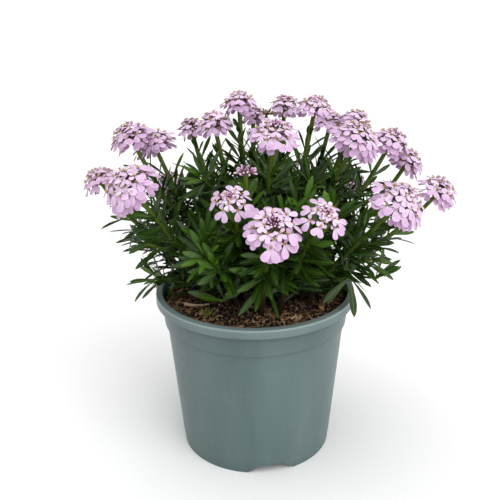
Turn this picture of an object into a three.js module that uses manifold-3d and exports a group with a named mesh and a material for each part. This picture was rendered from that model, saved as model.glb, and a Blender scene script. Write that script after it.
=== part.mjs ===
// Potted candytuft, in millimetres, +Z up.
// A thin plastic nursery pot is filled with peat. Leafy stems stand in plain holes in the peat, and
// each flowering stem carries one domed head of florets. The origin ends up under the middle of the
// whole plant, at the level of the surface that the pot stands on.

import * as THREE from 'three';
import { mergeVertices } from 'three/addons/utils/BufferGeometryUtils.js';
import Module from 'manifold-3d';

const wasm = await Module();
wasm.setup();

// Pot
const potHeight = 110;
const rimRadius = 65;
const rimWidth = 4.1;
const rimBandHeight = 5.9;
const collarHeight = 14.6;
const collarTopRadius = 61.7;
const collarFootRadius = 59.9;
const wallTopRadius = 58.4;
const wallFootRadius = 50.6;
const footRadius = 49.8;
const footHeight = 6;
const wallThickness = 1.5;
const floorHeight = 6.5;
const skirtTaper = 0.8;
const footLedge = 0.4;
const rimBevel = 0.7;
const potSegments = 30;
const notchCount = 3;
const notchFirstTurn = -79.3;
const notchFootWidth = 33.2;
const notchTopWidth = 15.8;
const notchHeight = 5.2;
const notchReach = 8;
const drainHoleCount = 5;
const drainHoleRadius = 3.5;
const drainHoleCircle = 34;
const drainHoleSides = 6;

// Peat
const peatTop = 104.4;
const peatSwell = 1.5;
const peatRings = 3;
const peatSegments = 16;
const peatCrown = 1.6;
const chipCount = 6;
const chipLengths = [5, 11];
const chipWidths = [3, 5];
const chipThickness = 3.2;
const chipSunk = 0.9;
const chipCircles = [20, 50];
const chipTilt = 0.25;
const chipPart = 90;

// Main stems. A stem rises straight from its root, swings out, and arrives at its head along the
// head's own axis. The shares are of the distance from root to tip, and of the head's width.
const rootDepth = 11;
const rootSpread = 0.36;
const riseShare = 0.32;
const swingShare = 0.06;
const arriveShare = 0.38;
const tipSink = 0.12;
const stemFootRadius = 1.9;
const stemTipRadius = 1.5;
const stemSides = 3;
const stemSteps = 4;

// Side shoots, only on stems whose tips are further than `wideReach` from the pot's axis and on
// the shoots without flowers
const wideReach = 92;
const sideShootLength = 29;
const sideShootFootRadius = 0.9;
const sideShootTipRadius = 0.6;
const sideShootSteps = 2;
const sideShootPlaces = [0.36, 0.52];
const sideShootTries = 8;
const sideShootTurnStep = 0.8;

// Leaves. Each starts from a point sunk this far behind the stem's middle line. Low ones are long
// and spread wide, high ones are short and steep, with tilts in degrees from the stem.
const goldenTurn = 2.399963;
const leafSetBack = 0.42;
const leafThickness = 1.2;
const leafWidth = 4.8;
const lowLeafLength = 28;
const highLeafLength = 17;
const leafLengthSpread = 0.28;
const lowLeafTilt = 72;
const highLeafTilt = 38;
const leafTiltSpread = 22;
const leafBends = [0.06, 0.22];
const stemLeaves = 11;
const stemLeafFrom = 0.3;
const stalkFrom = 0.82;
const sideShootLeaves = 6;
const sideShootLeafFrom = 0.35;
const leafTries = 9;
const leafTurnStep = 0.55;

// Each cross-section of a leaf: how far along it lies, and its share of the leaf's width.
const leafOutline = [
  [0, 0],
  [0.56, 1],
  [1, 0],
];

// Heads. A petal that has no room is tried again higher or lower by these shares of the head's
// width, and then shorter.
const petalThickness = 0.8;
const petalLifts = [0, 0.08, -0.08, 0.16, -0.16, 0.08, -0.08, 0];
const fullLengthTries = 5;
const shortPetalShare = 0.8;
const petalLiftSpread = 0.06;
const petalReachSpread = 0.05;
const petalBend = 0.06;
const pairSpread = 0.24;
const budHeadWidth = 15;
const budHeadCoreShare = 0.46;
const coreShare = 0.19;
const coreHeightShare = 0.15;
const coreSink = 0.02;

// The same for the petals, which start from a point in the middle of the head: outer ones end
// blunt and round, and inner ones are pointed.
const outerPetalOutline = [
  [0, 0],
  [0.7, 1],
  [0.94, 0.62],
];
const innerPetalOutline = [
  [0, 0],
  [0.74, 1],
  [1, 0],
];

// Rings of petals in a head, as shares of its width: how far out the tips are, how low the petals
// start, how high the tips are, and how wide a petal is. There is a pair for each `spacing` in mm
// of the head's width, and `start` turns the ring by a share of a pair.
const petalRings = [
  {
    reach: 0.48,
    low: -0.04,
    high: -0.17,
    share: 0.27,
    spacing: 8.6,
    start: 0,
    use: 5,
    outline: outerPetalOutline,
  },
  {
    reach: 0.34,
    low: 0.03,
    high: 0.11,
    share: 0.3,
    spacing: 16.5,
    start: 0.5,
    use: 6,
    outline: innerPetalOutline,
  },
];

// The gap that pieces keep where they stand in or beside one another, and a little more for stems
// in their holes and for leaves and petals beside other pieces
const clearance = 0.3;
const holeClearance = clearance + 0.15;
const bladeClearance = clearance + 0.1;

// Corners that fall in one cell of such a grid are one corner.
const cornerGrids = [0.02, 0.013, 0.009, 0.006, 0.004, 0.003, 0.002];

// Flower heads: middle of the head from the pot's axis and foot, width, and lean from upright in
// degrees. Each head leans straight out from the pot's axis. The last five are on the far side.
const heads = [
  { x: -98, y: 0, z: 185.5, width: 26, lean: 32 },
  { x: -73.5, y: -40, z: 192, width: 38, lean: 36 },
  { x: -78, y: 10, z: 210.5, width: 31, lean: 26 },
  { x: -64.5, y: 20, z: 203, width: 31, lean: 24 },
  { x: -41.5, y: 42, z: 209, width: 22, lean: 20 },
  { x: -25, y: 10, z: 217.5, width: 27, lean: 15 },
  { x: -9, y: 20, z: 229, width: 26, lean: 8 },
  { x: 0, y: 38, z: 217, width: 21, lean: 12 },
  { x: 12, y: -30, z: 219.5, width: 32, lean: 18 },
  { x: 21, y: 30, z: 225, width: 23, lean: 12 },
  { x: 38, y: 0, z: 228.5, width: 26, lean: 12 },
  { x: 50.5, y: 30, z: 213, width: 25, lean: 16 },
  { x: 66, y: 20, z: 216, width: 25, lean: 22 },
  { x: 61.5, y: -20, z: 214, width: 34, lean: 26 },
  { x: 87, y: 8, z: 205.5, width: 29, lean: 27 },
  { x: 101, y: 22, z: 189, width: 28, lean: 32 },
  { x: 115, y: -10, z: 178, width: 29, lean: 36 },
  { x: 83.5, y: -50, z: 183.5, width: 36, lean: 38 },
  { x: -5, y: -40, z: 198, width: 12, lean: 8 },
  { x: -13, y: -60, z: 187.5, width: 25, lean: 34 },
  { x: 9, y: -86, z: 180.5, width: 34, lean: 40 },
  { x: 37, y: -75, z: 182, width: 26, lean: 38 },
  { x: 9, y: 48, z: 215, width: 13, lean: 12 },
  { x: -62, y: 68, z: 163, width: 28, lean: 30 },
  { x: -22, y: 92, z: 156, width: 26, lean: 34 },
  { x: 30, y: 93, z: 158, width: 29, lean: 32 },
  { x: 72, y: 66, z: 163, width: 27, lean: 30 },
];

// Shoots without flowers: the place and the lean of the tip.
const shoots = [
  { x: 70, y: -30, z: 140, lean: 72 },
  { x: -68, y: -22, z: 150, lean: 72 },
  { x: -29, y: -48, z: 149, lean: 68 },
  { x: -4, y: 78, z: 134, lean: 70 },
];

const material = {
  pot: new THREE.MeshStandardMaterial({ color: 0x6f8383, roughness: 0.45, metalness: 0 }),
  peat: new THREE.MeshStandardMaterial({ color: 0x3a261b, roughness: 0.95, metalness: 0 }),
  leaf: new THREE.MeshStandardMaterial({ color: 0x2f5527, roughness: 0.5, metalness: 0 }),
  petal: new THREE.MeshStandardMaterial({ color: 0xe0bfe6, roughness: 0.6, metalness: 0 }),
};

const up = new THREE.Vector3(0, 0, 1);
const turnOf = (degrees) => (degrees * Math.PI) / 180;
const between = ([low, high], share) => low + (high - low) * share;

// A fixed number from 0 to 1 for each plant part and use, so the plant grows alike each time.
function draw(plantPart, item, use) {
  const wave = Math.sin(plantPart * 127.1 + item * 311.7 + use * 74.7) * 43758.5453;
  return wave - Math.floor(wave);
}

// A geometry with its shared corners merged and its collapsed triangles dropped.
function meshOf(geometry, nearest = 1e-4) {
  const form = geometry.index ? geometry.toNonIndexed() : geometry.clone();
  form.deleteAttribute('normal');
  form.deleteAttribute('uv');
  const merged = mergeVertices(form, nearest);
  const corners = merged.index.array;
  const kept = [];
  for (let i = 0; i < corners.length; i += 3) {
    const [a, b, c] = corners.slice(i, i + 3);
    if (a !== b && b !== c && c !== a) kept.push(a, b, c);
  }
  merged.setIndex(kept);
  return merged;
}

function solidOf(geometry, nearest) {
  const form = meshOf(geometry, nearest);
  const solid = new wasm.Manifold(
    new wasm.Mesh({
      numProp: 3,
      vertProperties: new Float32Array(form.attributes.position.array),
      triVerts: new Uint32Array(form.index.array),
    }),
  );
  return solid;
}

function geometryOf(solid) {
  const { numProp, vertProperties, triVerts } = solid.getMesh();
  const places = new Float32Array((vertProperties.length / numProp) * 3);
  for (let i = 0; i < places.length / 3; i++) {
    places.set(vertProperties.subarray(i * numProp, i * numProp + 3), i * 3);
  }
  const geometry = new THREE.BufferGeometry();
  geometry.setAttribute('position', new THREE.BufferAttribute(places, 3));
  geometry.setIndex(new THREE.BufferAttribute(new Uint32Array(triVerts), 1));
  geometry.computeVertexNormals();
  return geometry;
}

const join = (solids) => wasm.Manifold.union(solids);

const largestOf = (bodies) => bodies.reduce((a, b) => (b.volume() > a.volume() ? b : a));

// True where each edge of a solid is shared by two of its triangles and no more, once corners
// that meet are one.
function isTight(solid) {
  const corners = meshOf(geometryOf(solid)).index.array;
  const uses = new Map();
  for (let i = 0; i < corners.length; i++) {
    const next = i % 3 === 2 ? i - 2 : i + 1;
    const edge = [corners[i], corners[next]].sort((p, q) => p - q).join();
    uses.set(edge, (uses.get(edge) ?? 0) + 1);
  }
  return [...uses.values()].every((count) => count === 2);
}

// The one body of a joined solid, with sealed hollows filled and loose scraps left out. Corners
// that all but meet are merged on a grid, and a finer grid is tried where that pinches the body.
function wholeOf(solid) {
  for (const step of cornerGrids) {
    const first = largestOf(solid.decompose());
    const merged = largestOf(solidOf(geometryOf(first), step).decompose());
    const body = largestOf(solidOf(geometryOf(merged), step * 0.77).decompose());
    if (isTight(body)) return body;
  }
  throw new Error('a joined body is pinched on every grid');
}

// Pieces already in place, each with the name of the node it belongs to.
const placed = [];

function place(node, solid) {
  placed.push({ node, solid, box: solid.boundingBox() });
}

function boxesMeet(a, b) {
  return [0, 1, 2].every((i) => a.min[i] <= b.max[i] && b.min[i] <= a.max[i]);
}

// True where a solid touches a placed piece that passes a test.
function touches(solid, test) {
  const box = solid.boundingBox();
  return placed.some(
    (piece) =>
      test(piece) && boxesMeet(box, piece.box) && !solid.intersect(piece.solid).isEmpty(),
  );
}

// Pot: one lathe profile with a skirt below the raised floor, then notches and drain holes.
function makePot() {
  const stepHeight = potHeight - rimBandHeight - collarHeight;
  const bandFoot = potHeight - rimBandHeight;
  const profile = [
    [0, floorHeight],
    [footRadius - wallThickness - skirtTaper, floorHeight],
    [footRadius - wallThickness, 0],
    [footRadius, 0],
    [footRadius + footLedge, footHeight],
    [wallFootRadius, footHeight + footLedge],
    [wallTopRadius, stepHeight - footLedge],
    [collarFootRadius, stepHeight],
    [collarTopRadius, bandFoot],
    [rimRadius, bandFoot + footLedge],
    [rimRadius, potHeight - rimBevel],
    [rimRadius - rimBevel, potHeight],
    [rimRadius - rimWidth, potHeight],
    [collarFootRadius - wallThickness, stepHeight],
    [wallFootRadius - wallThickness, floorHeight + wallThickness],
    [0, floorHeight + wallThickness],
  ];
  const lathe = new THREE.LatheGeometry(
    profile.map(([r, z]) => new THREE.Vector2(r, z)),
    potSegments,
  );
  lathe.rotateX(Math.PI / 2);
  const cuts = [];
  for (let i = 0; i < notchCount; i++) {
    const outline = new THREE.Shape([
      new THREE.Vector2(-notchFootWidth / 2, -1),
      new THREE.Vector2(notchFootWidth / 2, -1),
      new THREE.Vector2(notchTopWidth / 2, notchHeight),
      new THREE.Vector2(-notchTopWidth / 2, notchHeight),
    ]);
    const cut = new THREE.ExtrudeGeometry(outline, { depth: 2 * notchReach, bevelEnabled: false });
    cut.rotateX(Math.PI / 2);
    cut.translate(0, footRadius + notchReach, 0);
    cut.rotateZ(turnOf(notchFirstTurn - 90 + (360 / notchCount) * i));
    cuts.push(solidOf(cut));
  }
  for (let i = 0; i < drainHoleCount; i++) {
    const turn = turnOf((360 / drainHoleCount) * i);
    const depth = 4 * wallThickness;
    const cut = new THREE.CylinderGeometry(drainHoleRadius, drainHoleRadius, depth, drainHoleSides);
    cut.rotateX(Math.PI / 2);
    cut.translate(drainHoleCircle * Math.cos(turn), drainHoleCircle * Math.sin(turn), floorHeight);
    cuts.push(solidOf(cut));
  }
  return solidOf(lathe).subtract(join(cuts));
}

// Height of the peat's rough top at a place.
function peatHeight(x, y) {
  const rough = Math.sin(x * 0.21 + 1.3) * Math.cos(y * 0.19) + 0.6 * Math.sin(x * 0.43 - y * 0.37);
  const crown = peatCrown * (1 - (x * x + y * y) / (rimRadius * rimRadius));
  return peatTop + crown + peatSwell * 0.5 * rough;
}

// Peat: a plug that fills the pot, with a rough top, a few bark chips and a hole for each stem.
function makePeat(stems) {
  const stepHeight = potHeight - rimBandHeight - collarHeight;
  const bottom = floorHeight + wallThickness + clearance;
  const topRadius = collarFootRadius - wallThickness - clearance
    + ((peatTop - stepHeight) * (rimRadius - rimWidth - collarFootRadius + wallThickness))
    / (potHeight - stepHeight);
  const profile = [
    [0, bottom],
    [wallFootRadius - wallThickness - clearance, bottom],
    [collarFootRadius - wallThickness - clearance - 0.1, stepHeight],
    [topRadius - 0.1, peatTop],
  ];
  for (let i = peatRings - 1; i >= 0; i--) {
    profile.push([(topRadius * i) / peatRings, peatTop]);
  }
  const lathe = new THREE.LatheGeometry(
    profile.map(([r, z]) => new THREE.Vector2(r, z)),
    peatSegments,
  );
  lathe.rotateX(Math.PI / 2);
  const form = meshOf(lathe);
  const corner = form.attributes.position;
  for (let i = 0; i < corner.count; i++) {
    const [x, y] = [corner.getX(i), corner.getY(i)];
    const inside = Math.hypot(x, y) < topRadius - 2;
    if (inside && corner.getZ(i) > peatTop - 0.01) corner.setZ(i, peatHeight(x, y));
  }
  const chips = [];
  for (let i = 0; i < chipCount; i++) {
    const reach = between(chipCircles, Math.sqrt(draw(chipPart, i, 1)));
    const turn = goldenTurn * i;
    const length = between(chipLengths, draw(chipPart, i, 2));
    const width = between(chipWidths, draw(chipPart, i, 3));
    const chip = new THREE.BoxGeometry(length, width, chipThickness);
    chip.rotateX(between([-chipTilt, chipTilt], draw(chipPart, i, 4)));
    chip.rotateZ(Math.PI * draw(chipPart, i, 5));
    const [x, y] = [reach * Math.cos(turn), reach * Math.sin(turn)];
    chip.translate(x, y, peatHeight(x, y) - chipSunk);
    chips.push(solidOf(chip));
  }
  const holes = join(stems.map((stem) => tube(stem.curve, stem, holeClearance)));
  return solidOf(form).add(join(chips)).subtract(holes);
}

// The three directions at a place on a stem: along it, and two across it.
function frameAt(curve, t) {
  const along = curve.getTangent(t).normalize();
  const side = new THREE.Vector3(1, 0, 0).cross(along).normalize();
  const front = along.clone().cross(side);
  return { point: curve.getPoint(t), along, side, front };
}

// A stem with a few flat sides, which follows a curve and thins towards its tip.
function tube(curve, { footRadius: low, tipRadius: high, sides, steps }, extra = 0) {
  const form = meshOf(new THREE.CylinderGeometry(1, 1, 1, sides, steps));
  const corner = form.attributes.position;
  for (let i = 0; i < corner.count; i++) {
    const t = corner.getY(i) + 0.5;
    const { point, along, side, front } = frameAt(curve, t);
    const radius = low + (high - low) * t + extra;
    const shift = extra * (t > 0.999 ? 1 : 0);
    point.addScaledVector(side, corner.getX(i) * radius);
    point.addScaledVector(front, -corner.getZ(i) * radius);
    point.addScaledVector(along, shift);
    corner.setXYZ(i, point.x, point.y, point.z);
  }
  return solidOf(form);
}

// A blade with a flat upper face and a keel below. It leaves `foot` along `along`, its upper face
// looks along `face`, and it bends back from that face by `bend` at its tip. `outline` lists how
// far along each cross-section lies and how wide it is, with 0 for a point. `extra` fattens it.
function blade({ foot, along, face, length, width, thickness, bend, outline }, extra) {
  const steps = outline.length - 1;
  const form = meshOf(new THREE.CylinderGeometry(1, 1, 1, 3, steps));
  const corner = form.attributes.position;
  const across = face.clone().cross(along).normalize();
  for (let i = 0; i < corner.count; i++) {
    const step = Math.round((corner.getY(i) + 0.5) * steps);
    const [place, share] = outline[step];
    const middle = Math.hypot(corner.getX(i), corner.getZ(i)) < 0.1;
    const keel = middle ? 1 / 3 : Math.max(0, corner.getZ(i));
    const sideways = corner.getX(i) / Math.sin(Math.PI / 3);
    const grown = share > 0 ? extra : 0;
    const point = foot.clone();
    point.addScaledVector(along, length * place + (step === steps ? extra : 0));
    point.addScaledVector(face, -bend * place * place + grown * (1 - 2 * keel));
    point.addScaledVector(face, -keel * thickness * Math.sqrt(share));
    point.addScaledVector(across, sideways * ((share * width) / 2 + grown));
    if (middle && step === steps && share > 0) point.addScaledVector(along, 0.12 * width);
    corner.setXYZ(i, point.x, point.y, point.z);
  }
  return solidOf(form);
}

// The middle line of a main stem, from its root to the underside of its head or tip.
function stemCurve({ x, y, z, width = 0, lean }) {
  const outward = new THREE.Vector3(x, y, 0).normalize();
  const axis = up.clone().multiplyScalar(Math.cos(turnOf(lean)));
  axis.addScaledVector(outward, Math.sin(turnOf(lean)));
  const tip = new THREE.Vector3(x, y, z).addScaledVector(axis, -tipSink * width);
  const root = new THREE.Vector3(x * rootSpread, y * rootSpread, peatTop - rootDepth);
  const reach = tip.distanceTo(root);
  const rise = root.clone().addScaledVector(up, riseShare * reach);
  rise.addScaledVector(outward, swingShare * reach);
  const arrive = tip.clone().addScaledVector(axis, -arriveShare * reach);
  return { curve: new THREE.CubicBezierCurve3(root, rise, arrive, tip), axis };
}

// A short side shoot that leaves a stem and turns up.
function sideShootCurve(parent, t, turn, length) {
  const { point, along, side, front } = frameAt(parent, t);
  const out = side.multiplyScalar(Math.cos(turn)).addScaledVector(front, Math.sin(turn));
  const middle = point.clone().addScaledVector(out, 0.5 * length).addScaledVector(along, 0.12 * length);
  const tip = point.clone().addScaledVector(out, 0.86 * length).addScaledVector(along, 0.42 * length);
  tip.z += 0.12 * length;
  return new THREE.QuadraticBezierCurve3(point, middle, tip);
}

// One leaf of a stem, `t` of the way along it. `height` is 0 for a low leaf and 1 for a high one.
function leafAt(curve, t, height, turn, chance) {
  const { point, along, side, front } = frameAt(curve, t);
  const out = side.multiplyScalar(Math.cos(turn)).addScaledVector(front, Math.sin(turn));
  const tilt = turnOf(between([lowLeafTilt, highLeafTilt], height) + leafTiltSpread * (chance - 0.5));
  const direction = along.clone().multiplyScalar(Math.cos(tilt)).addScaledVector(out, Math.sin(tilt));
  const face = along.clone().multiplyScalar(Math.sin(tilt)).addScaledVector(out, -Math.cos(tilt));
  const meanLength = between([lowLeafLength, highLeafLength], height);
  const length = meanLength * (1 + leafLengthSpread * (chance - 0.5));
  return {
    foot: point.addScaledVector(direction, -leafSetBack / Math.sin(tilt)),
    along: direction,
    face,
    length,
    width: leafWidth,
    thickness: leafThickness,
    bend: length * between(leafBends, chance),
    outline: leafOutline,
  };
}

// Puts a blade in a node where it clears the rest of the plant, or leaves it out after a few
// tries. `inReach` picks the pieces that the bare blade has to clear in its own node.
function fitBlade(node, solids, tries, plan, carrier, inReach) {
  for (let attempt = 0; attempt < tries; attempt++) {
    const shape = plan(attempt);
    const solid = blade(shape, 0);
    const fat = blade(shape, bladeClearance);
    const inOther = (piece) => piece.node !== node && piece.node !== carrier;
    if (touches(solid, inReach) || touches(fat, inOther)) continue;
    solids.push(solid);
    place(node, solid);
    return;
  }
}

// Two-digit numbers for the names of like pieces.
const numbered = (name, index) => `${name}_${String(index + 1).padStart(2, '0')}`;

const group = new THREE.Group();

function addNode(name, solid, look) {
  const mesh = new THREE.Mesh(geometryOf(solid), look);
  mesh.name = name;
  group.add(mesh);
}

// Plans of the main stems, flowering ones first.
const plans = [...heads, ...shoots].map((tip, index) => {
  const flowering = index < heads.length;
  return {
    index,
    node: flowering ? numbered('stem', index) : numbered('shoot', index - heads.length),
    tip,
    flowering,
    ...stemCurve(tip),
    footRadius: stemFootRadius,
    tipRadius: stemTipRadius,
    sides: stemSides,
    steps: stemSteps,
  };
});

const pot = makePot();
place('pot', pot);
const peat = makePeat(plans);
place('peat', peat);

for (const plan of plans) {
  plan.solids = [tube(plan.curve, plan)];
  place(plan.node, plan.solids[0]);
}

// Flower heads: a small domed core on the stem's tip, an outer and a middle ring of petals in
// pairs, and a knot of buds in the middle.
function makeHead(plan) {
  const { width, x, y, z } = plan.tip;
  const inBud = width < budHeadWidth;
  const node = numbered('bloom', plan.index);
  const middle = new THREE.Vector3(x, y, z);
  const side = new THREE.Vector3(1, 0, 0).cross(plan.axis).normalize();
  const front = plan.axis.clone().cross(side);
  const outAt = (turn) =>
    side.clone().multiplyScalar(Math.cos(turn)).addScaledVector(front, Math.sin(turn));
  const pointAt = (radius, turn, height) =>
    middle.clone().addScaledVector(outAt(turn), radius).addScaledVector(plan.axis, height);
  const turnAxis = new THREE.Quaternion().setFromUnitVectors(up, plan.axis);

  const core = meshOf(new THREE.SphereGeometry(1, inBud ? 9 : 6, inBud ? 5 : 4));
  const knob = core.attributes.position;
  for (let i = 0; i < knob.count; i++) {
    const swell = 0.85 + 0.35 * draw(plan.index, i, 7);
    knob.setXYZ(i, knob.getX(i) * swell, knob.getY(i) * (0.9 + 0.2 * swell), knob.getZ(i) * swell);
  }
  core.rotateX(Math.PI / 2);
  const coreRadius = (inBud ? budHeadCoreShare : coreShare) * width;
  core.scale(coreRadius, coreRadius, coreHeightShare * width);
  core.applyQuaternion(turnAxis);
  core.translate(...pointAt(0, 0, -coreSink * width));
  const solids = [solidOf(core)];
  place(node, solids[0]);

  for (const ring of inBud ? [] : petalRings) {
    const pairs = Math.round(width / ring.spacing);
    for (let i = 0; i < pairs * 2; i++) {
      const pairTurn = (2 * Math.PI * (Math.floor(i / 2) + ring.start)) / pairs + plan.index;
      const turn = pairTurn + (i % 2 ? 1 : -1) * ((pairSpread * 2 * Math.PI) / pairs);
      const chance = draw(plan.index, i, ring.use);
      const planPetal = (attempt) => {
        const lift = petalLifts[attempt] + petalLiftSpread * (chance - 0.5);
        const shorter = attempt < fullLengthTries ? 1 : shortPetalShare;
        const reach = (ring.reach + petalReachSpread * (chance - 0.5)) * shorter;
        const foot = pointAt(0, 0, ring.low * width);
        const end = pointAt(reach * width, turn, (ring.high + lift) * width);
        const along = end.clone().sub(foot);
        const length = along.length();
        along.normalize();
        const face = plan.axis.clone().addScaledVector(along, -plan.axis.dot(along)).normalize();
        return {
          foot,
          along,
          face,
          length,
          width: ring.share * width,
          thickness: petalThickness,
          bend: petalBend * length,
          outline: ring.outline,
        };
      };
      fitBlade(node, solids, petalLifts.length, planPetal, plan.node, () => false);
    }
  }
  const socket = tube(plan.curve, plan, holeClearance);
  addNode(node, wholeOf(join(solids).subtract(socket)), material.petal);
}

for (const plan of plans) {
  if (plan.flowering) makeHead(plan);
}

// Leaves of a main stem or a side shoot, which is `carrier`.
function addLeaves(plan, carrier, curve, { count, key, from, to, lowest }) {
  for (let i = 0; i < count; i++) {
    const t = from + ((to - from) * (i + 0.5)) / count;
    const height = lowest + (1 - lowest) * t;
    const planLeaf = (attempt) => {
      const turn = goldenTurn * i + 2 * Math.PI * draw(plan.index, key, 1) + leafTurnStep * attempt;
      return leafAt(curve, t, height, turn, draw(plan.index, key + i + 10 * attempt, 2));
    };
    const inReach = (piece) => piece.node === plan.node && piece.solid !== carrier;
    fitBlade(plan.node, plan.solids, leafTries, planLeaf, plan.node, inReach);
  }
}

// A side shoot with its leaves, where it clears what is in place.
function addSideShoot(plan, number) {
  const sizes = {
    footRadius: sideShootFootRadius,
    tipRadius: sideShootTipRadius,
    sides: stemSides,
    steps: sideShootSteps,
  };
  for (let attempt = 0; attempt < sideShootTries; attempt++) {
    const t = between(sideShootPlaces, draw(plan.index, number, 3));
    const turn = 2 * Math.PI * draw(plan.index, number, 4) + sideShootTurnStep * attempt;
    const curve = sideShootCurve(plan.curve, t, turn, sideShootLength);
    const solid = tube(curve, sizes);
    const inOwn = (piece) => piece.node === plan.node && piece.solid !== plan.solids[0];
    const inOther = (piece) => piece.node !== plan.node;
    if (touches(solid, inOwn) || touches(tube(curve, sizes, bladeClearance), inOther)) continue;
    plan.solids.push(solid);
    place(plan.node, solid);
    const key = 1000 * (number + 1);
    const from = sideShootLeafFrom;
    addLeaves(plan, solid, curve, { count: sideShootLeaves, key, from, to: 1, lowest: 0.3 });
    return;
  }
}

for (const plan of plans) {
  const to = plan.flowering ? stalkFrom : 1;
  const from = stemLeafFrom;
  addLeaves(plan, plan.solids[0], plan.curve, { count: stemLeaves, key: 0, from, to, lowest: 0 });
  const wide = Math.hypot(plan.tip.x, plan.tip.y) > wideReach;
  const sideShoots = plan.flowering ? Number(wide) : 2;
  for (let i = 0; i < sideShoots; i++) addSideShoot(plan, i);
}

addNode('pot', pot, material.pot);
addNode('peat', peat, material.peat);
for (const plan of plans) {
  addNode(plan.node, wholeOf(join(plan.solids)), material.leaf);
}

const box = new THREE.Box3().setFromObject(group);
group.position.set(-(box.min.x + box.max.x) / 2, -(box.min.y + box.max.y) / 2, -box.min.z);

export default group;
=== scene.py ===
import math

import bpy
import numpy as np
from mathutils import Matrix, Vector, noise


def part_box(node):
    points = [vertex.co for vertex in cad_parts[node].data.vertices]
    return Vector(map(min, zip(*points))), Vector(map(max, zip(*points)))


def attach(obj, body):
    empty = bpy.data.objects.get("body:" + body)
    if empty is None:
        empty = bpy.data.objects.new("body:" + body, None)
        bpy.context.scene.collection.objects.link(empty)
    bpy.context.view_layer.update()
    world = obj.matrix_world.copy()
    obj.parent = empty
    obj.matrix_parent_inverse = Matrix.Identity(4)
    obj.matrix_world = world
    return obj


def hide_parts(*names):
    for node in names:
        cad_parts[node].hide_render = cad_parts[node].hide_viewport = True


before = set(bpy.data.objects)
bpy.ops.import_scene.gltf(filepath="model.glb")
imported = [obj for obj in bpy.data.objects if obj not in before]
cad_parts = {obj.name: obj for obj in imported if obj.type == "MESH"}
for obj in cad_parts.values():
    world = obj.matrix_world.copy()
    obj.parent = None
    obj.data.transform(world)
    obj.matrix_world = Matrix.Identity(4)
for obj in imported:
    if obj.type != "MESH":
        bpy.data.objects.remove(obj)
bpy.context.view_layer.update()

MM = 0.001
pot_low, pot_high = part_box("pot")
pot_foot = Vector(((pot_low.x + pot_high.x) / 2, (pot_low.y + pot_high.y) / 2, pot_low.z))


# Studio: a plain pale floor under broad soft lamps, and a camera where the photograph was taken
# from, in front of the pot and above it, looking down by about twenty degrees.
camera_place = Vector((-3.0, -467.05, 310.67)) * MM
camera_pitch = math.radians(20.52)
camera_roll = math.radians(0.70)
image_width = 500
focal_pixels = 769.6
sensor_width = 36.0
floor_width = 40.0
floor_tone = 0.97
world_strength = 0.52
lamp_softness = math.radians(60)
lamps = (
    ("key lamp", (0.8, -1.2, 0.9), 1.6),
    ("top lamp", (-0.1, -0.1, 1.5), 1.25),
)


def linear(red, green, blue):
    """A colour given as it looks on a screen, 0 to 255, as the shader takes it."""
    return tuple(((c / 255 + 0.055) / 1.055) ** 2.4 for c in (red, green, blue)) + (1.0,)


def grey(value):
    """A plain grey, from 0 to 1, as the shader takes it."""
    return (value, value, value, 1.0)


def add_node(tree, kind, **settings):
    """A new node with its settings."""
    node = tree.nodes.new(kind)
    for name, value in settings.items():
        setattr(node, name, value)
    return node


def new_material(name, roughness, **sockets):
    """A material with its Principled BSDF, whose uniform values are set on its own sockets."""
    material = bpy.data.materials.new(name)
    material.use_nodes = True
    shader = material.node_tree.nodes["Principled BSDF"]
    shader.inputs["Roughness"].default_value = roughness
    for socket, value in sockets.items():
        shader.inputs[socket.replace("_", " ")].default_value = value
    return material, material.node_tree, shader


def add_lamp(name, place, strength):
    """A broad lamp far off in a direction, so that it lights the plant and the floor alike."""
    bpy.ops.object.light_add(type="SUN", location=pot_foot + Vector(place))
    lamp = bpy.context.object
    lamp.name = name
    lamp.data.angle = lamp_softness
    lamp.data.energy = strength
    lamp.rotation_euler = (-Vector(place)).to_track_quat("-Z", "Y").to_euler()


bpy.ops.object.select_all(action="DESELECT")
bpy.ops.object.camera_add()
camera = bpy.context.object
camera.data.sensor_width = sensor_width
camera.data.lens = focal_pixels / image_width * sensor_width
look = Matrix.Rotation(math.pi / 2 - camera_pitch, 4, "X") @ Matrix.Rotation(-camera_roll, 4, "Z")
camera.matrix_world = Matrix.Translation(pot_foot + camera_place) @ look
bpy.context.scene.camera = camera
bpy.context.scene.view_settings.view_transform = "Standard"

bpy.ops.mesh.primitive_plane_add(size=floor_width, location=(0, 0, 0))
floor = bpy.context.object
floor.name = "floor"
floor_material, _, floor_shader = new_material("pale floor", 0.9)
floor_shader.inputs["Base Color"].default_value = grey(floor_tone)
floor.data.materials.append(floor_material)

world = bpy.data.worlds.new("studio")
world.use_nodes = True
background = world.node_tree.nodes["Background"]
background.inputs["Color"].default_value = grey(1)
background.inputs["Strength"].default_value = world_strength
bpy.context.scene.world = world
for name, place, strength in lamps:
    add_lamp(name, place, strength)


# Pot: a thin nursery pot, injection moulded in one piece of blue-grey plastic. Its flat rim turns
# down at the edge as a lip. Below it there are a collar, a small step, a tapered wall, and a skirt
# with three drainage notches under the raised floor, in which there are five drain holes.
pot_height = 110
rim_radius = 65
rim_width = 4.1
rim_band_height = 5.9
collar_height = 14.6
collar_top_radius = 61.7
collar_foot_radius = 59.9
wall_top_radius = 58.4
wall_foot_radius = 50.6
foot_radius = 49.8
foot_height = 6
foot_ledge = 0.4
wall_thickness = 1.5
floor_height = 6.5
pot_segments = 144
pot_edge = 0.3
rim_round = 0.8
lip_thickness = 1.2
lip_tuck = 0.4
skirt_taper = 0.8
notch_count = 3
notch_first_turn = -79.3
notch_foot_width = 30.4
notch_top_width = 15.8
notch_height = 5.2
notch_reach = 8
drain_hole_count = 5
drain_hole_radius = 3.5
drain_hole_circle = 34
drain_hole_depth = 6
drain_hole_sides = 28


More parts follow.
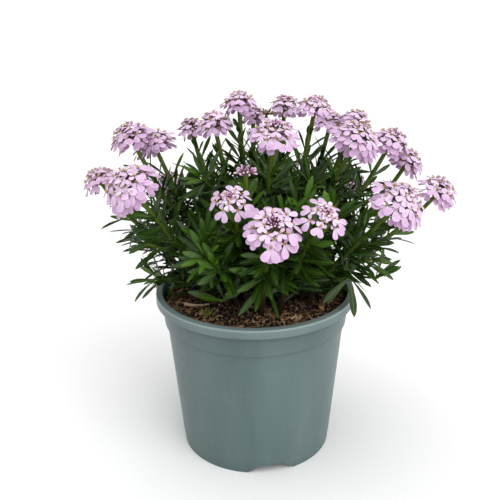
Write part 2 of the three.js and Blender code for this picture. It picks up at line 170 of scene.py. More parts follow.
def at_pot(x, y, z):
    """A place given in mm from the pot's foot and axis."""
    return pot_foot + Vector((x, y, z)) * MM


def start_piece(add, **settings):
    """Adds a primitive with nothing else selected and opens it in edit mode, all selected."""
    bpy.ops.object.select_all(action="DESELECT")
    add(**settings)
    bpy.ops.object.mode_set(mode="EDIT")
    bpy.ops.mesh.select_all(action="SELECT")
    return bpy.context.object


def close_piece(piece, name):
    """Turns the faces outwards and leaves the finished piece at the origin."""
    bpy.ops.mesh.select_all(action="SELECT")
    bpy.ops.mesh.normals_make_consistent(inside=False)
    bpy.ops.object.mode_set(mode="OBJECT")
    bpy.ops.object.transform_apply(location=True, rotation=True, scale=True)
    piece.name = name
    return piece


def apply_modifier(piece, kind, **settings):
    """Gives a piece a modifier and applies it."""
    bpy.ops.object.select_all(action="DESELECT")
    bpy.context.view_layer.objects.active = piece
    piece.select_set(True)
    modifier = piece.modifiers.new(kind, kind)
    for name, value in settings.items():
        setattr(modifier, name, value)
    bpy.ops.object.modifier_apply(modifier=modifier.name)


def turned_body(profile, segments):
    """A body turned about the pot's axis: a disc that is extruded and resized along a profile of
    radii and heights, and that ends as the profile's last disc."""
    radius, height = profile[0]
    piece = start_piece(
        bpy.ops.mesh.primitive_circle_add,
        vertices=segments, radius=radius * MM, fill_type="NGON", location=at_pot(0, 0, height),
    )
    for next_radius, next_height in profile[1:]:
        rise = {"value": (0, 0, (next_height - height) * MM)}
        bpy.ops.mesh.extrude_region_move(TRANSFORM_OT_translate=rise)
        share = next_radius / radius
        bpy.ops.transform.resize(value=(share, share, 1), center_override=at_pot(0, 0, next_height))
        radius, height = next_radius, next_height
    return piece


step_height = pot_height - rim_band_height - collar_height
band_foot = pot_height - rim_band_height
pot = turned_body(
    [
        (foot_radius - wall_thickness - skirt_taper, floor_height),
        (foot_radius - wall_thickness, 0),
        (foot_radius, 0),
        (foot_radius + foot_ledge, foot_height),
        (wall_foot_radius, foot_height + foot_ledge),
        (wall_top_radius, step_height - foot_ledge),
        (collar_foot_radius, step_height),
        (collar_top_radius + lip_tuck, pot_height - lip_thickness),
        (rim_radius - lip_thickness, pot_height - lip_thickness),
        (rim_radius - lip_thickness, band_foot),
        (rim_radius, band_foot),
        (rim_radius, pot_height - rim_round),
        (rim_radius - 0.3 * rim_round, pot_height - 0.3 * rim_round),
        (rim_radius - rim_round, pot_height),
        (rim_radius - rim_width, pot_height),
        (collar_foot_radius - wall_thickness, step_height),
        (wall_foot_radius - wall_thickness, floor_height + wall_thickness),
    ],
    pot_segments,
)
close_piece(pot, "nursery_pot")

notch_deep_width = 2 * notch_foot_width - notch_top_width
cutters = []
for i in range(notch_count):
    turn = math.radians(notch_first_turn + i * 360 / notch_count)
    cutter = start_piece(bpy.ops.mesh.primitive_cube_add, size=1, location=(0, 0, 0))
    bpy.ops.transform.resize(value=Vector((2 * notch_reach, notch_deep_width, 2 * notch_height)) * MM)
    bpy.ops.mesh.select_all(action="DESELECT")
    bpy.ops.object.mode_set(mode="OBJECT")
    for corner in cutter.data.vertices:
        corner.select = corner.co.z > 0
    bpy.ops.object.mode_set(mode="EDIT")
    bpy.ops.transform.resize(value=(1, notch_top_width / notch_deep_width, 1))
    close_piece(cutter, "notch")
    place = at_pot(foot_radius * math.cos(turn), foot_radius * math.sin(turn), 0)
    cutter.data.transform(Matrix.Translation(place) @ Matrix.Rotation(turn, 4, "Z"))
    cutters.append(cutter)
for i in range(drain_hole_count):
    turn = 2 * math.pi * i / drain_hole_count
    x, y = drain_hole_circle * math.cos(turn), drain_hole_circle * math.sin(turn)
    cutter = start_piece(
        bpy.ops.mesh.primitive_cylinder_add,
        vertices=drain_hole_sides, radius=drain_hole_radius * MM, depth=drain_hole_depth * MM,
        location=at_pot(x, y, floor_height),
    )
    cutters.append(close_piece(cutter, "drain_hole"))
for cutter in cutters:
    apply_modifier(pot, "BOOLEAN", operation="DIFFERENCE", solver="EXACT", object=cutter)
    bpy.data.objects.remove(cutter)
apply_modifier(
    pot, "BEVEL", width=pot_edge * MM, segments=3, limit_method="ANGLE",
    angle_limit=math.radians(24), use_clamp_overlap=True,
)
bpy.ops.object.shade_smooth_by_angle(angle=math.radians(40))
apply_modifier(pot, "WEIGHTED_NORMAL", keep_sharp=True, weight=100)


def new_group(name, inputs, outputs):
    """A shader node group with named number sockets."""
    group = bpy.data.node_groups.new(name, "ShaderNodeTree")
    for socket, value in inputs.items():
        made = group.interface.new_socket(name=socket, in_out="INPUT", socket_type="NodeSocketFloat")
        made.default_value = value
    for socket in outputs:
        group.interface.new_socket(name=socket, in_out="OUTPUT", socket_type="NodeSocketFloat")
    return group, add_node(group, "NodeGroupInput"), add_node(group, "NodeGroupOutput")


def make_mottle_group():
    """Soft cloudy and fine grainy variation over a surface, each from 0 to 1."""
    group, given, result = new_group(
        "mottle", {"Cloud Scale": 40, "Grain Scale": 600, "Stretch": 1}, ["Cloud", "Grain"]
    )
    place = add_node(group, "ShaderNodeTexCoord")
    stretch = add_node(group, "ShaderNodeCombineXYZ")
    stretch.inputs[0].default_value = 1
    stretch.inputs[1].default_value = 1
    group.links.new(given.outputs["Stretch"], stretch.inputs[2])
    mapping = add_node(group, "ShaderNodeMapping")
    group.links.new(place.outputs["Object"], mapping.inputs["Vector"])
    group.links.new(stretch.outputs[0], mapping.inputs["Scale"])
    for scale, output, detail in (("Cloud Scale", "Cloud", 3), ("Grain Scale", "Grain", 6)):
        texture = add_node(group, "ShaderNodeTexNoise")
        texture.inputs["Detail"].default_value = detail
        group.links.new(mapping.outputs[0], texture.inputs["Vector"])
        group.links.new(given.outputs[scale], texture.inputs["Scale"])
        group.links.new(texture.outputs["Fac"], result.inputs[output])
    return group


mottle_group = make_mottle_group()


def add_group(tree, group, **values):
    """Places a node group in a material, with the material's own values."""
    node = add_node(tree, "ShaderNodeGroup", node_tree=group)
    for socket, value in values.items():
        node.inputs[socket.replace("_", " ")].default_value = value
    return node


def ramp(tree, factor, stops):
    """A colour ramp over a factor. A stop is a place with the three numbers of a colour as it looks
    on a screen, or with one grey."""
    node = add_node(tree, "ShaderNodeValToRGB")
    tree.links.new(factor, node.inputs["Fac"])
    elements = node.color_ramp.elements
    while len(elements) < len(stops):
        elements.new(0.5)
    for element, (place, *colour) in zip(elements, stops):
        element.position = place
        element.color = linear(*colour) if len(colour) == 3 else grey(*colour)
    return node.outputs["Color"]


def feed(tree, socket, value):
    """Links a socket to another one, or sets a plain value on it."""
    if isinstance(value, bpy.types.NodeSocket):
        tree.links.new(value, socket)
    else:
        socket.default_value = value


def blend_colours(tree, factor, first, second, how="MIX"):
    """Mixes two colours, each a socket or a plain colour."""
    node = add_node(tree, "ShaderNodeMix", data_type="RGBA", blend_type=how)
    for place, value in ((0, factor), (6, first), (7, second)):
        feed(tree, node.inputs[place], value)
    return node.outputs[2]


def dapple(tree, colour, mask, low, high):
    """A colour made darker and lighter over a mask, by a factor at each end of it."""
    return blend_colours(tree, 1.0, colour, blend_colours(tree, mask, low, high), "MULTIPLY")


def calculate(tree, how, first, second, clamp=False):
    """A Math node over two numbers, each a socket or a plain number."""
    node = add_node(tree, "ShaderNodeMath", operation=how, use_clamp=clamp)
    feed(tree, node.inputs[0], first)
    feed(tree, node.inputs[1], second)
    return node.outputs[0]


def split(tree, vector):
    """The three parts of a vector."""
    node = add_node(tree, "ShaderNodeSeparateXYZ")
    tree.links.new(vector, node.inputs[0])
    return node.outputs


def add_bump(tree, shader, height, strength, distance):
    """Fine relief from a height, on a shader's normal."""
    bump = add_node(tree, "ShaderNodeBump")
    bump.inputs["Strength"].default_value = strength
    bump.inputs["Distance"].default_value = distance
    tree.links.new(height, bump.inputs["Height"])
    tree.links.new(bump.outputs[0], shader.inputs["Normal"])


def wall_bands(tree, share, bands):
    """A mask up the pot, from (height in mm, value) stops."""
    return ramp(tree, share, [(height / pot_height, value) for height, value in bands])


def make_pot_material():
    """Satin moulded plastic: faint tone streaks down the wall, fine grain and a few scuffs, with
    painted shade under the lip and in the step, darker towards the foot, and a painted highlight
    along the lip's upper edge, fainter down the lip's band."""
    material, tree, shader = new_material("moulded plastic", 0.42)
    streaks = add_group(tree, mottle_group, Cloud_Scale=55, Grain_Scale=900, Stretch=0.12)
    scuffs = add_group(tree, mottle_group, Cloud_Scale=24, Grain_Scale=260, Stretch=7)
    body = ramp(
        tree, streaks.outputs["Cloud"], [(0.3, 75, 94, 96), (0.5, 82, 102, 102), (0.7, 88, 108, 107)]
    )
    marked = calculate(tree, "MULTIPLY", scuffs.outputs["Grain"], scuffs.outputs["Cloud"])
    mark = ramp(tree, marked, [(0.36, 0), (0.46, 0.35)])
    scuffed = blend_colours(tree, mark, body, linear(112, 130, 129))
    place = add_node(tree, "ShaderNodeTexCoord")
    rise = calculate(tree, "SUBTRACT", split(tree, place.outputs["Object"])[2], pot_foot.z)
    share = calculate(tree, "DIVIDE", rise, pot_height * MM)
    # Painted shade: darker under the lip and in the step, where shade falls, and darker towards the
    # foot.
    painted_shade = wall_bands(tree, share, [
        (0, 0.2), (4.4, 0), (step_height - 0.9, 0), (step_height, 0.5), (step_height + 1.1, 0.06),
        (band_foot - 5, 0.1), (band_foot - 0.2, 0.5), (band_foot + 0.2, 0),
    ])
    with_painted_shade = blend_colours(tree, painted_shade, scuffed, linear(40, 52, 53))
    # Painted highlight: a pale line along the lip's rounded upper edge, and paler painted light down the
    # band below it.
    painted_highlight = wall_bands(tree, share, [
        (band_foot - 0.1, 0), (band_foot + 0.3, 0.14), (pot_height - 1.6, 0.2),
        (pot_height - 0.9, 0.75), (pot_height - 0.2, 0.5),
    ])
    colour = blend_colours(tree, painted_highlight, with_painted_shade, linear(150, 168, 166))
    tree.links.new(colour, shader.inputs["Base Color"])
    rough = ramp(tree, streaks.outputs["Grain"], [(0.3, 0.36), (0.7, 0.47)])
    tree.links.new(rough, shader.inputs["Roughness"])
    add_bump(tree, shader, streaks.outputs["Grain"], 0.12, 0.0002)
    return material


pot.data.materials.append(make_pot_material())
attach(pot, "root")
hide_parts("pot")


# Peat: dark potting peat that fills the pot to just under the rim, with a rough top of crumbs,
# fibres, bark chips, pale grains, a splinter of wood and a tuft of moss.
peat_top = 104.4
peat_crown = 1.6
peat_swell = 1.5
peat_rim_gap = 1.0
peat_wall_gap = 0.25
peat_edge = 5
peat_segments = 150
peat_rings = 52
lump_rise = 2.4
crumb_rise = 2.8
crumb_count = 1500
fibre_count = 620
bark_count = 230
grain_count = 120
litter_from = 6
litter_edge = 2.5
fibre_edge = 1.5
splinter_places = ((-45, -23.5), (-37, -22.5), (-29, -24.5))
splinter_lift = 1.6
moss_place = (-30, -34)
moss_reach = 3.4
moss_tips = 70


def draw(part, item, use):
    """A fixed number from 0 to 1 for each plant part, item and use."""
    wave = math.sin(part * 127.1 + item * 311.7 + use * 74.7) * 43758.5453
    return wave - math.floor(wave)


def draw_turn(part, item, use):
    """A fixed turn, up to a whole one."""
    return 2 * math.pi * draw(part, item, use)


def heading(turn):
    """The level direction at a turn about the pot's axis."""
    return np.array([math.cos(turn), math.sin(turn), 0.0])


def between(low, high, share):
    """The value at a share of the way from one to the other."""
    return low + (high - low) * share


def clamped(value):
    """A value kept from 0 to 1."""
    return min(1, max(0, value))


def wall_radius(height):
    """Inner radius of the pot's wall at a height above the step."""
    share = (height - step_height) / (pot_height - step_height)
    return between(collar_foot_radius - wall_thickness, rim_radius - rim_width, share)


peat_radius = wall_radius(peat_top) - peat_wall_gap


def peat_height(x, y):
    """Height of the peat's large swells at a place, as in the solids."""
    rough = math.sin(x * 0.21 + 1.3) * math.cos(y * 0.19) + 0.6 * math.sin(x * 0.43 - y * 0.37)
    crown = peat_crown * (1 - (x * x + y * y) / (rim_radius * rim_radius))
    return peat_top + crown + peat_swell * 0.5 * rough


def crumbled_height(x, y):
    """The swells with lumps and crumbs on them, which die out at the pot's wall."""
    place = Vector((x, y, 0))
    lumps = lump_rise * noise.fractal(place * 0.2, 1.0, 2.0, 3)
    crumbs = crumb_rise * noise.fractal(place * 0.6 + Vector((9, 3, 1)), 0.7, 2.1, 4)
    edge = clamped((peat_radius - math.hypot(x, y)) / peat_edge)
    return between(peat_top - peat_rim_gap, peat_height(x, y) + lumps + crumbs, 0.3 + 0.7 * edge)


def on_peat(x, y):
    """A place on the peat's surface."""
    return np.array([x, y, crumbled_height(x, y)])


peat_foot = (wall_radius(step_height) - 1, step_height + 2)
peat = turned_body([peat_foot, (peat_radius, peat_top)], peat_segments)
for _ in range(peat_rings - 1):
    bpy.ops.mesh.inset(thickness=peat_radius / peat_rings * MM, depth=0)
close_piece(peat, "peat_bed")
for corner in peat.data.vertices:
    spot = (corner.co - pot_foot) / MM
    if spot.z > peat_top - 0.01:
        corner.co.z = pot_foot.z + crumbled_height(spot.x, spot.y) * MM
bpy.ops.object.shade_smooth()


class Cluster:
    """Copies of modelled masters, gathered into one mesh. Each corner carries a mark: how far
    across and along its blade it lies, and the tone of its copy."""

    def __init__(self):
        self.copies = []
        self.count = 0

    def add(self, form, corners, tone, look=0):
        """Adds a copy of a form, with its corners in mm, and its material's place in the list."""
        across, _, along = form["corners"].T
        marks = np.column_stack([across, along, np.full(len(corners), tone)])
        looks = np.full(len(form["sizes"]), look)
        self.copies.append((corners, marks, form["faces"] + self.count, form["sizes"], looks))
        self.count += len(corners)

    def make(self, name, materials):
        """The finished piece, with all its copies in one mesh."""
        corners, marks, faces, sizes, looks = [np.concatenate(rows) for rows in zip(*self.copies)]
        mesh = bpy.data.meshes.new(name)
        mesh.vertices.add(len(corners))
        mesh.vertices.foreach_set("co", (corners * MM + np.array(pot_foot)).ravel())
        mesh.loops.add(len(faces))
        mesh.loops.foreach_set("vertex_index", faces)
        mesh.polygons.add(len(sizes))
        mesh.polygons.foreach_set("loop_start", np.cumsum(sizes) - sizes)
        mesh.polygons.foreach_set("material_index", looks)
        mesh.update(calc_edges=True)
        mesh.polygons.foreach_set("use_smooth", np.ones(len(sizes), bool))
        mark = mesh.attributes.new("mark", "FLOAT_VECTOR", "POINT")
        mark.data.foreach_set("vector", marks.ravel())
        for material in materials:
            mesh.materials.append(material)
        piece = bpy.data.objects.new(name, mesh)
        bpy.context.scene.collection.objects.link(piece)
        bpy.ops.object.select_all(action="DESELECT")
        bpy.context.view_layer.objects.active = piece
        piece.select_set(True)
        bpy.ops.object.shade_smooth_by_angle(angle=math.radians(80))
        return piece


def form_of(piece):
    """Corners and faces of a modelled master, which then leaves the scene."""
    mesh = piece.data
    form = {
        "corners": np.array([corner.co for corner in mesh.vertices]),
        "faces": np.array([i for face in mesh.polygons for i in face.vertices]),
        "sizes": np.array([len(face.vertices) for face in mesh.polygons]),
    }
    bpy.data.objects.remove(piece)
    return form


def model_lump(name, kind, squash, rough):
    """A small broken lump, about 1 across, from an icosphere with its corners pushed about."""
    lump = start_piece(bpy.ops.mesh.primitive_ico_sphere_add, subdivisions=1, radius=0.5)
    bpy.ops.transform.resize(value=squash)
    close_piece(lump, name)
    for corner in lump.data.vertices:
        places = [corner.co * 5 + Vector((kind, 7.3 * way, 0)) for way in range(3)]
        corner.co += rough * Vector([noise.noise(place) for place in places])
    return form_of(lump)


def model_rod(sides, steps):
    """A rod 1 long along Z, with a radius of 1, cut into rings so that it can follow a curve."""
    rod = start_piece(bpy.ops.mesh.primitive_circle_add, vertices=sides, fill_type="NGON")
    for _ in range(steps):
        bpy.ops.mesh.extrude_region_move(TRANSFORM_OT_translate={"value": (0, 0, 1 / steps)})
    return form_of(close_piece(rod, "rod"))


def unit(vector):
    """A direction, 1 long."""
    return vector / np.linalg.norm(vector)


def on_curve(points, t):
    """A place on a Bezier curve through its control points."""
    points = [np.asarray(p, float) for p in points]
    t = np.asarray(t, float)[..., None]
    while len(points) > 1:
        points = [a + (b - a) * t for a, b in zip(points, points[1:])]
    return points[0]


def frame_at(points, t, reference=(1.0, 0.0, 0.0)):
    """The place on a curve, the direction along it, and two directions across it."""
    step = 1e-4
    low, high = max(0, t - step), min(1, t + step)
    along = unit(on_curve(points, high) - on_curve(points, low))
    side = unit(np.cross(reference, along))
    return on_curve(points, t), along, side, np.cross(along, side)


def along_rod(form, points, low, high):
    """Corners of a rod that follows a curve and thins from one radius to the other."""
    rise = unit(np.asarray(points[1], float) - np.asarray(points[0], float))
    reference = (1.0, 0.0, 0.0) if abs(rise[0]) < 0.75 else (0.0, 1.0, 0.0)
    corners = np.empty_like(form["corners"])
    for t in np.unique(form["corners"][:, 2]):
        ring = form["corners"][:, 2] == t
        place, _, side, front = frame_at(points, t, reference)
        x, y = form["corners"][ring, 0:1], form["corners"][ring, 1:2]
        corners[ring] = place + between(low, high, t) * (x * side + y * front)
    return corners


def turned_at(form, place, scale, turns):
    """Corners of a small piece, scaled, turned about Z, X and Z again, and set at a place."""
    first, second, third = [Matrix.Rotation(turn, 3, axis) for turn, axis in zip(turns, "ZXZ")]
    return (form["corners"] * scale) @ np.array(first @ second @ third).T + place


def spot_on_peat(part, item):
    """A place on the peat for a loose bit, drawn evenly over the disc."""
    reach = between(litter_from, peat_radius - litter_edge, math.sqrt(draw(part, item, 1)))
    x, y, _ = reach * heading(draw_turn(part, item, 2))
    return on_peat(x, y)


litter = Cluster()
lumps = [model_lump("lump", kind, (1, 0.8, 0.62), 0.35) for kind in range(4)]


def add_lump(part, item, scale, turns, tone):
    """A lump of one of the four kinds, on the peat."""
    lump = lumps[item % len(lumps)]
    litter.add(lump, turned_at(lump, spot_on_peat(part, item), scale, turns), tone)


def any_turns(part, item):
    """Three turns for a lump that lies any way up."""
    return [draw_turn(part, item, use) for use in (4, 5, 6)]


for i in range(crumb_count):
    size = 1.1 + 3.8 * draw(11, i, 3) ** 2
    add_lump(11, i, size, any_turns(11, i), 0.8 * draw(11, i, 7) ** 1.5)
for i in range(bark_count):
    scale = np.array([2.5 + 5 * draw(12, i, 3) ** 2, 1.4 + 2 * draw(12, i, 4), 0.8 + draw(12, i, 5)])
    turns = (draw_turn(12, i, 6), 1.2 * (draw(12, i, 7) - 0.5), 0)
    add_lump(12, i, scale, turns, 0.3 + 0.6 * draw(12, i, 8))
for i in range(grain_count):
    add_lump(13, i, 0.5 + 0.7 * draw(13, i, 3), any_turns(13, i), 1.0)

fibre_rod = model_rod(3, 5)
for i in range(fibre_count):
    spot = spot_on_peat(14, i)
    length = 4 + 13 * draw(14, i, 4) ** 2
    run = heading(draw_turn(14, i, 3))
    sway = np.array([-run[1], run[0], 0.0]) * (draw(14, i, 5) - 0.5) * length * 0.7
    lift = np.array([0, 0, 0.5 + 1.3 * draw(14, i, 6)])
    ends = [spot - run * length / 2, spot + sway + lift, spot + run * length / 2 + lift * draw(14, i, 7)]
    for end in (ends[0], ends[2]):
        end[:2] *= min(1, (peat_radius - fibre_edge) / math.hypot(end[0], end[1]))
    thick = 0.18 + 0.36 * draw(14, i, 8) ** 2
    litter.add(fibre_rod, along_rod(fibre_rod, ends, thick, thick * 0.5), 0.4 + 0.58 * draw(14, i, 9))

splinter = [on_peat(x, y) + np.array([0, 0, splinter_lift]) for x, y in splinter_places]
splinter_rod = model_rod(4, 5)
litter.add(splinter_rod, along_rod(splinter_rod, splinter, 1.2, 0.6), 0.92)

for i in range(moss_tips):
    reach = moss_reach * math.sqrt(draw(15, i, 2))
    run = heading(draw_turn(15, i, 1))
    foot = on_peat(moss_place[0] + run[0] * reach, moss_place[1] + run[1] * reach)
    lift = np.array([0, 0, 1.6 + 1.6 * draw(15, i, 3)])
    stalk = [foot, foot + lift * 0.7, foot + lift + run * (0.5 + 0.5 * reach)]
    litter.add(fibre_rod, along_rod(fibre_rod, stalk, 0.34, 0.12), draw(15, i, 4), 1)


def read_mark(tree):
    """How far across and along its blade a corner lies, and the tone of its copy."""
    mark = add_node(tree, "ShaderNodeAttribute", attribute_name="mark")
    return split(tree, mark.outputs["Vector"])


def make_peat_material():
    """Moist peat with painted shade, nearly black in the hollows and darker towards the middle under
    the foliage; red-brown on the crumbs, tan on fibres and bark."""
    material, tree, shader = new_material("moist peat", 0.95)
    mottle = add_group(tree, mottle_group, Cloud_Scale=180, Grain_Scale=660)
    tone = read_mark(tree)[2]
    # The ground's colour over the grain, which is also the bump's height: its near-black low end is
    # painted shade in the hollows, the rest is the peat's own colour.
    ground = ramp(
        tree, mottle.outputs["Grain"],
        [(0.43, 3, 2, 1), (0.51, 32, 20, 12), (0.57, 114, 76, 48), (0.64, 204, 162, 118)],
    )
    bits = ramp(
        tree, tone,
        [(0.0, 12, 8, 5), (0.3, 58, 38, 23), (0.6, 158, 114, 74), (0.88, 214, 178, 126),
         (0.98, 230, 220, 202)],
    )
    colour = blend_colours(tree, calculate(tree, "MULTIPLY", tone, 1.5, clamp=True), ground, bits)
    shade = blend_colours(tree, 0.5, colour, ground)
    mixed = blend_colours(tree, mottle.outputs["Cloud"], shade, colour)
    place = add_node(tree, "ShaderNodeTexCoord")
    centred = add_node(tree, "ShaderNodeMapping")
    centred.inputs["Location"].default_value = (-pot_foot.x, -pot_foot.y, 0)
    centred.inputs["Scale"].default_value = (1, 1, 0)
    tree.links.new(place.outputs["Object"], centred.inputs["Vector"])
    reach = add_node(tree, "ShaderNodeVectorMath", operation="LENGTH")
    tree.links.new(centred.outputs[0], reach.inputs[0])
    share = calculate(tree, "DIVIDE", reach.outputs["Value"], peat_radius * MM)
    # Painted shade under the foliage: the peat darker towards the pot's middle.
    moist_with_painted_shade = ramp(tree, share, [(0.2, 0.3), (0.5, 0.55), (0.78, 1.0)])
    final = blend_colours(tree, 1.0, mixed, moist_with_painted_shade, "MULTIPLY")
    tree.links.new(final, shader.inputs["Base Color"])
    add_bump(tree, shader, mottle.outputs["Grain"], 0.7, 0.0012)
    return material


def make_moss_material():
    """Moss: dull green, yellower on some tips."""
    material, tree, shader = new_material("moss", 0.8)
    colour = ramp(tree, read_mark(tree)[2], [(0, 70, 86, 32), (0.6, 118, 136, 54), (1, 184, 188, 104)])
    tree.links.new(colour, shader.inputs["Base Color"])
    return material


peat_material = make_peat_material()
peat.data.materials.append(peat_material)
peat_litter = litter.make("peat_litter", [peat_material, make_moss_material()])
for piece in (peat, peat_litter):
    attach(piece, "root")
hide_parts("peat")


# Leafy stems: each flowering stem rises from the peat, woody and brown below and bright green
# above, with narrow dark leaves in a spiral and on short side shoots that end in rosettes. The
# stalk under the flower head is nearly bare. A few low shoots carry no flowers.
golden_turn = 2.399963
root_depth = 11
root_spread = 0.36
rise_share = 0.32
swing_share = 0.06
arrive_share = 0.38
tip_sink = 0.12
stem_foot_radius = 1.9
stem_tip_radius = 1.35
side_foot_radius = 1.0
side_tip_radius = 0.6
stem_leaf_from = 0.3
stalk_from = 0.82
side_shoot_length = 29
side_shoot_places = (0.36, 0.52)
wide_reach = 92
leaf_thickness = 0.55
low_leaf_length = 28
high_leaf_length = 17
low_leaf_tilt = 72
high_leaf_tilt = 38
leaf_tilt_spread = 22
leaf_turn_step = 0.55
solid_leaves = 11
solid_side_leaves = 6
solid_leaf_set_back = 0.42
solid_tries = 9
solid_match = 0.1
solid_shoot_match = 0.8

# Each flowering stem ends in a flower head: the head's middle from the pot's axis and foot, its
# width, and its lean from upright in degrees. The last five are at the back.
heads = [
    (-98, 0, 185.5, 26, 32),
    (-73.5, -40, 192, 38, 36),
    (-78, 10, 210.5, 31, 26),
    (-64.5, 20, 203, 31, 24),
    (-41.5, 42, 209, 22, 20),
    (-25, 10, 217.5, 27, 15),
    (-9, 20, 229, 26, 8),
    (0, 38, 217, 21, 12),
    (12, -30, 219.5, 32, 18),
    (21, 30, 225, 23, 12),
    (38, 0, 228.5, 26, 12),
    (50.5, 30, 213, 25, 16),
    (66, 20, 216, 25, 22),
    (61.5, -20, 214, 34, 26),
    (87, 8, 205.5, 29, 27),
    (101, 22, 189, 28, 32),
    (115, -10, 178, 29, 36),
    (83.5, -50, 183.5, 36, 38),
    (-5, -40, 198, 12, 8),
    (-13, -60, 187.5, 25, 34),
    (9, -86, 180.5, 34, 40),
    (37, -75, 182, 26, 38),
    (9, 48, 215, 13, 12),
    (-62, 68, 163, 28, 30),
    (-22, 92, 156, 26, 34),
    (30, 93, 158, 29, 32),
    (72, 66, 163, 27, 30),
]

# Shoots without flowers: the tip's place and lean.
shoots = [
    (70, -30, 140, 0, 72),
    (-68, -22, 150, 0, 72),
    (-29, -48, 149, 0, 68),
    (-4, 78, 134, 0, 70),
]

# Cross-sections of the leaf: how far along it lies, and its shares of the width and thickness.
leaf_sections = [
    (0, 0.3, 1.0),
    (0.16, 0.4, 1.0),
    (0.36, 0.68, 0.9),
    (0.54, 0.93, 0.8),
    (0.7, 1.0, 0.7),
    (0.85, 0.78, 0.6),
    (0.95, 0.4, 0.45),
    (1.0, 0.08, 0.25),
]


def model_blade(sections, name):
    """A blade 1 long along Z and 2 across, from a flat diamond that is extruded and resized from
    one cross-section to the next."""
    blade = start_piece(bpy.ops.mesh.primitive_circle_add, vertices=4, fill_type="NGON")
    place, wide, thick = sections[0]
    bpy.ops.transform.resize(value=(wide, thick, 1))
    for next_place, next_wide, next_thick in sections[1:]:
        rise = {"value": (0, 0, next_place - place)}
        bpy.ops.mesh.extrude_region_move(TRANSFORM_OT_translate=rise)
        change = (next_wide / wide, next_thick / thick, 1)
        bpy.ops.transform.resize(value=change, center_override=(0, 0, next_place))
        place, wide, thick = next_place, next_wide, next_thick
    return form_of(close_piece(blade, name))


def swung(start, end, turn):
    """The direction a turn away from one direction, towards another one at right angles to it."""
    return start * math.cos(turn) + end * math.sin(turn)


def bent_blade(form, foot, along, face, length, width, thickness, arc, fold, twist):
    """Corners of a blade that leaves its foot along a direction, with its upper side to `face`,
    and bends back by `arc` radians over its length. `fold` raises its edges."""
    x, y, z = form["corners"].T[:, :, None]
    bend = arc if abs(arc) > 1e-3 else 1e-3
    turn, roll = bend * z, twist * z
    across = np.cross(face, along)
    normal = face * np.cos(turn) + along * np.sin(turn)
    sideways = across * np.cos(roll) + normal * np.sin(roll)
    upward = normal * np.cos(roll) - across * np.sin(roll)
    middle = foot + (along * np.sin(turn) - face * (1 - np.cos(turn))) * length / bend
    raised = y * thickness / 2 + fold * np.abs(x) * width / 2
    return middle + sideways * x * width / 2 + upward * raised


def stem_points(tip_plan):
    """Control points of a main stem's middle line, and the axis of its head."""
    x, y, z, width, lean = tip_plan
    outward = unit(np.array([x, y, 0.0]))
    axis = swung(np.array([0, 0, 1.0]), outward, math.radians(lean))
    tip = np.array([x, y, z]) - axis * tip_sink * width
    root = np.array([x * root_spread, y * root_spread, peat_top - root_depth])
    reach = np.linalg.norm(tip - root)
    rise = root + np.array([0, 0, rise_share * reach]) + outward * swing_share * reach
    return [root, rise, tip - axis * arrive_share * reach, tip], axis


def side_shoot_points(parent, t, turn, length):
    """Control points of a side shoot, which leaves its stem at a turn and bends upwards."""
    place, along, side, front = frame_at(parent, t)
    out = swung(side, front, turn)
    middle = place + out * 0.5 * length + along * 0.12 * length
    tip = place + out * 0.86 * length + along * 0.42 * length + np.array([0, 0, 0.12 * length])
    return [place, middle, tip]


def leaf_at(place, along, out, tilt, length, bend):
    """A leaf's plan: it leaves its stem outwards, tilted away from the way the stem grows."""
    return {
        "foot": place, "along": swung(along, out, tilt), "face": swung(-out, along, tilt),
        "tilt": tilt, "length": length, "bend": bend,
    }


def plan_leaf(points, t, height, turn, chance):
    """One leaf of a stem: low ones are long and spread wide, high ones are short and steep."""
    place, along, side, front = frame_at(points, t)
    tilt = between(low_leaf_tilt, high_leaf_tilt, height) + leaf_tilt_spread * (chance - 0.5)
    length = between(low_leaf_length, high_leaf_length, height) * (0.86 + 0.28 * chance)
    out = swung(side, front, turn)
    return leaf_at(place, along, out, math.radians(tilt), length, 0.06 + 0.16 * chance)


def solid_corners(node):
    """Corners of a CAD node, in mm from the pot's foot."""
    corners = np.array([corner.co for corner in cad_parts[node].data.vertices])
    return (corners - np.array(pot_foot)) / MM


def nearest_gap(corners, place):
    """How far a place is from the nearest of some corners."""
    return np.min(np.linalg.norm(corners - place, axis=1))


def solid_leaf_plans(corners, points, part, key, count, start, end, lowest):
    """The leaves that a CAD node has on a stem: of the tries that its rule allows for each leaf,
    the one whose tip is a corner of the node."""
    plans = []
    for i in range(count):
        t = between(start, end, (i + 0.5) / count)
        for attempt in range(solid_tries):
            turn = golden_turn * i + draw_turn(part, key, 1) + leaf_turn_step * attempt
            chance = draw(part, key + i + 10 * attempt, 2)
            leaf = plan_leaf(points, t, between(lowest, 1, t), turn, chance)
            reach = leaf["length"] - solid_leaf_set_back / math.sin(leaf["tilt"])
            tip = leaf["foot"] + leaf["along"] * reach - leaf["face"] * leaf["length"] * leaf["bend"]
            if nearest_gap(corners, tip) < solid_match:
                plans.append(leaf)
                break
    return plans


# The foliage thins out at the sides, more so low down. It spreads over the rim with a skirt that
# rises outwards, and it is open in front, where the peat shows under a slope. Only leaves with
# their feet far forward, or over the rim on the right, hang below that.
side_thinning = 0.009
side_thinning_start = 0.25
low_side_height = 140
low_side_from = 36
low_side_thinning = 0.35
leaf_skirt_height = 99
leaf_skirt_slope = 1.2
open_front_from = 10
open_front_to = -48.5
open_front_height = 112
open_front_slope = 0.45
leaf_slack = 14
level_rise = 5
level_slack = 0.4
hang_from = 49
hang_to = -27
hang_height = 124
wall_gap = 0.6
outer_wall_gap = 0.8
peat_gap = 1.2

head_middles = np.array([head[:3] for head in heads], float)
head_reaches = np.array([head[3] * 0.46 for head in heads])


